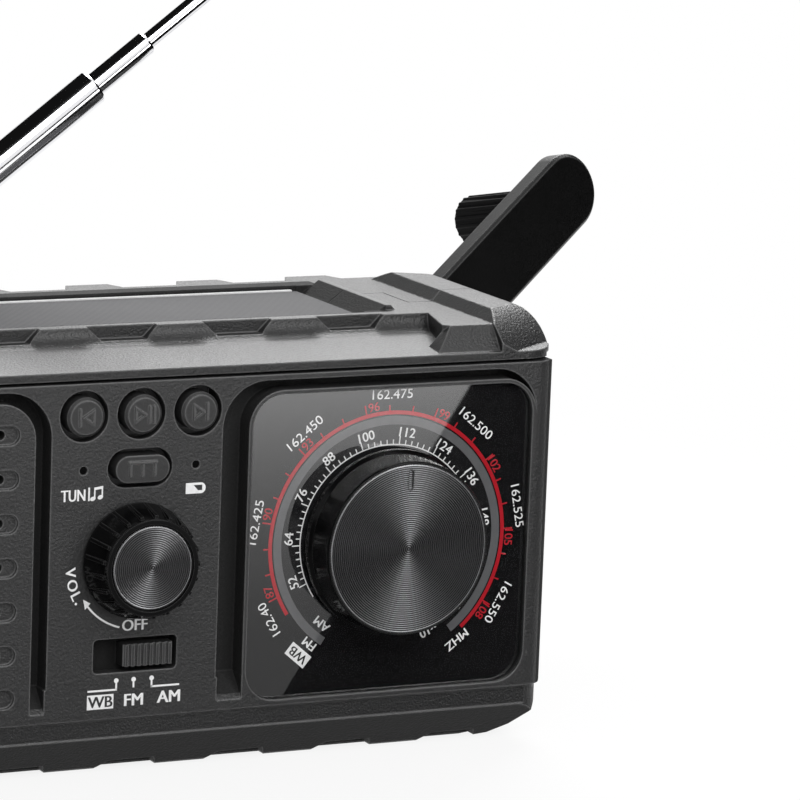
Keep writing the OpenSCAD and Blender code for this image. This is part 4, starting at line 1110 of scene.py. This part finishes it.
class RADIO_OT_inside(bpy.types.Operator):
    """Boards, gears, battery and other pieces inside the case"""

    bl_idname = "radio.inside"
    bl_label = "Inside"

    lacquer, copper = (0.012, 0.075, 0.028), (0.03, 0.14, 0.05)
    ivory, brass, steel = (0.62, 0.62, 0.58), (0.7, 0.52, 0.22), (0.5, 0.5, 0.5)
    ferrite, blue = (0.03, 0.03, 0.032), (0.03, 0.16, 0.30)

    def execute(self, context):
        dress(lacquered("board", self.lacquer, self.copper), "main_board", "port_board")
        gears = satin("gear_plastic", self.ivory, rough=0.4)
        dress(gears, "crank_gear", "idler_gear", "tuning_capacitor")
        brass = metal("brass", self.brass, rough=0.25)
        dress(brass, "crank_bush", "generator_pinion", "tuning_spindle", "volume_spindle")
        steel = metal("pressed_steel", self.steel, rough=0.35)
        dress(steel, "speaker_frame", "volume_control", "band_switch")
        ferrite = satin("ferrite", self.ferrite, rough=0.6)
        dress(ferrite, "ferrite_rod", "speaker_magnet", "button_switches")
        dress(satin("cell_sleeve", self.blue, rough=0.3), "battery_cell")
        return {"FINISHED"}


OPERATORS = (
    RADIO_OT_stage,
    RADIO_OT_case,
    RADIO_OT_dial,
    RADIO_OT_knobs,
    RADIO_OT_buttons,
    RADIO_OT_panel_print,
    RADIO_OT_solar,
    RADIO_OT_crank,
    RADIO_OT_antenna,
    RADIO_OT_back,
    RADIO_OT_inside,
)


class RADIO_PT_panel(bpy.types.Panel):
    """Sidebar list of the radio's pieces and settings"""

    bl_idname = "RADIO_PT_panel"
    bl_label = "Radio"
    bl_space_type = "VIEW_3D"
    bl_region_type = "UI"
    bl_category = "Radio"

    def draw(self, context):
        for operator in OPERATORS:
            self.layout.operator(operator.bl_idname)
        for group in settings():
            for name in group.__annotations__:
                self.layout.prop(group, name)


GROUPS = {"radio_colours": RadioColours, "radio_sizes": RadioSizes, "radio_light": RadioLight}


def register():
    """Adds the settings, operators and panel."""
    for name, group in GROUPS.items():
        bpy.utils.register_class(group)
        setattr(bpy.types.Scene, name, PointerProperty(type=group))
    for item in (*OPERATORS, RADIO_PT_panel):
        bpy.utils.register_class(item)


def unregister():
    """Takes the settings, operators and panel away."""
    for item in (RADIO_PT_panel, *reversed(OPERATORS)):
        bpy.utils.unregister_class(item)
    for name, group in GROUPS.items():
        delattr(bpy.types.Scene, name)
        bpy.utils.unregister_class(group)


def main():
    """Builds the radio's looks."""
    register()
    for operator in OPERATORS:
        group, name = operator.bl_idname.split(".")
        getattr(getattr(bpy.ops, group), name)()


if __name__ == "__main__":
    main()
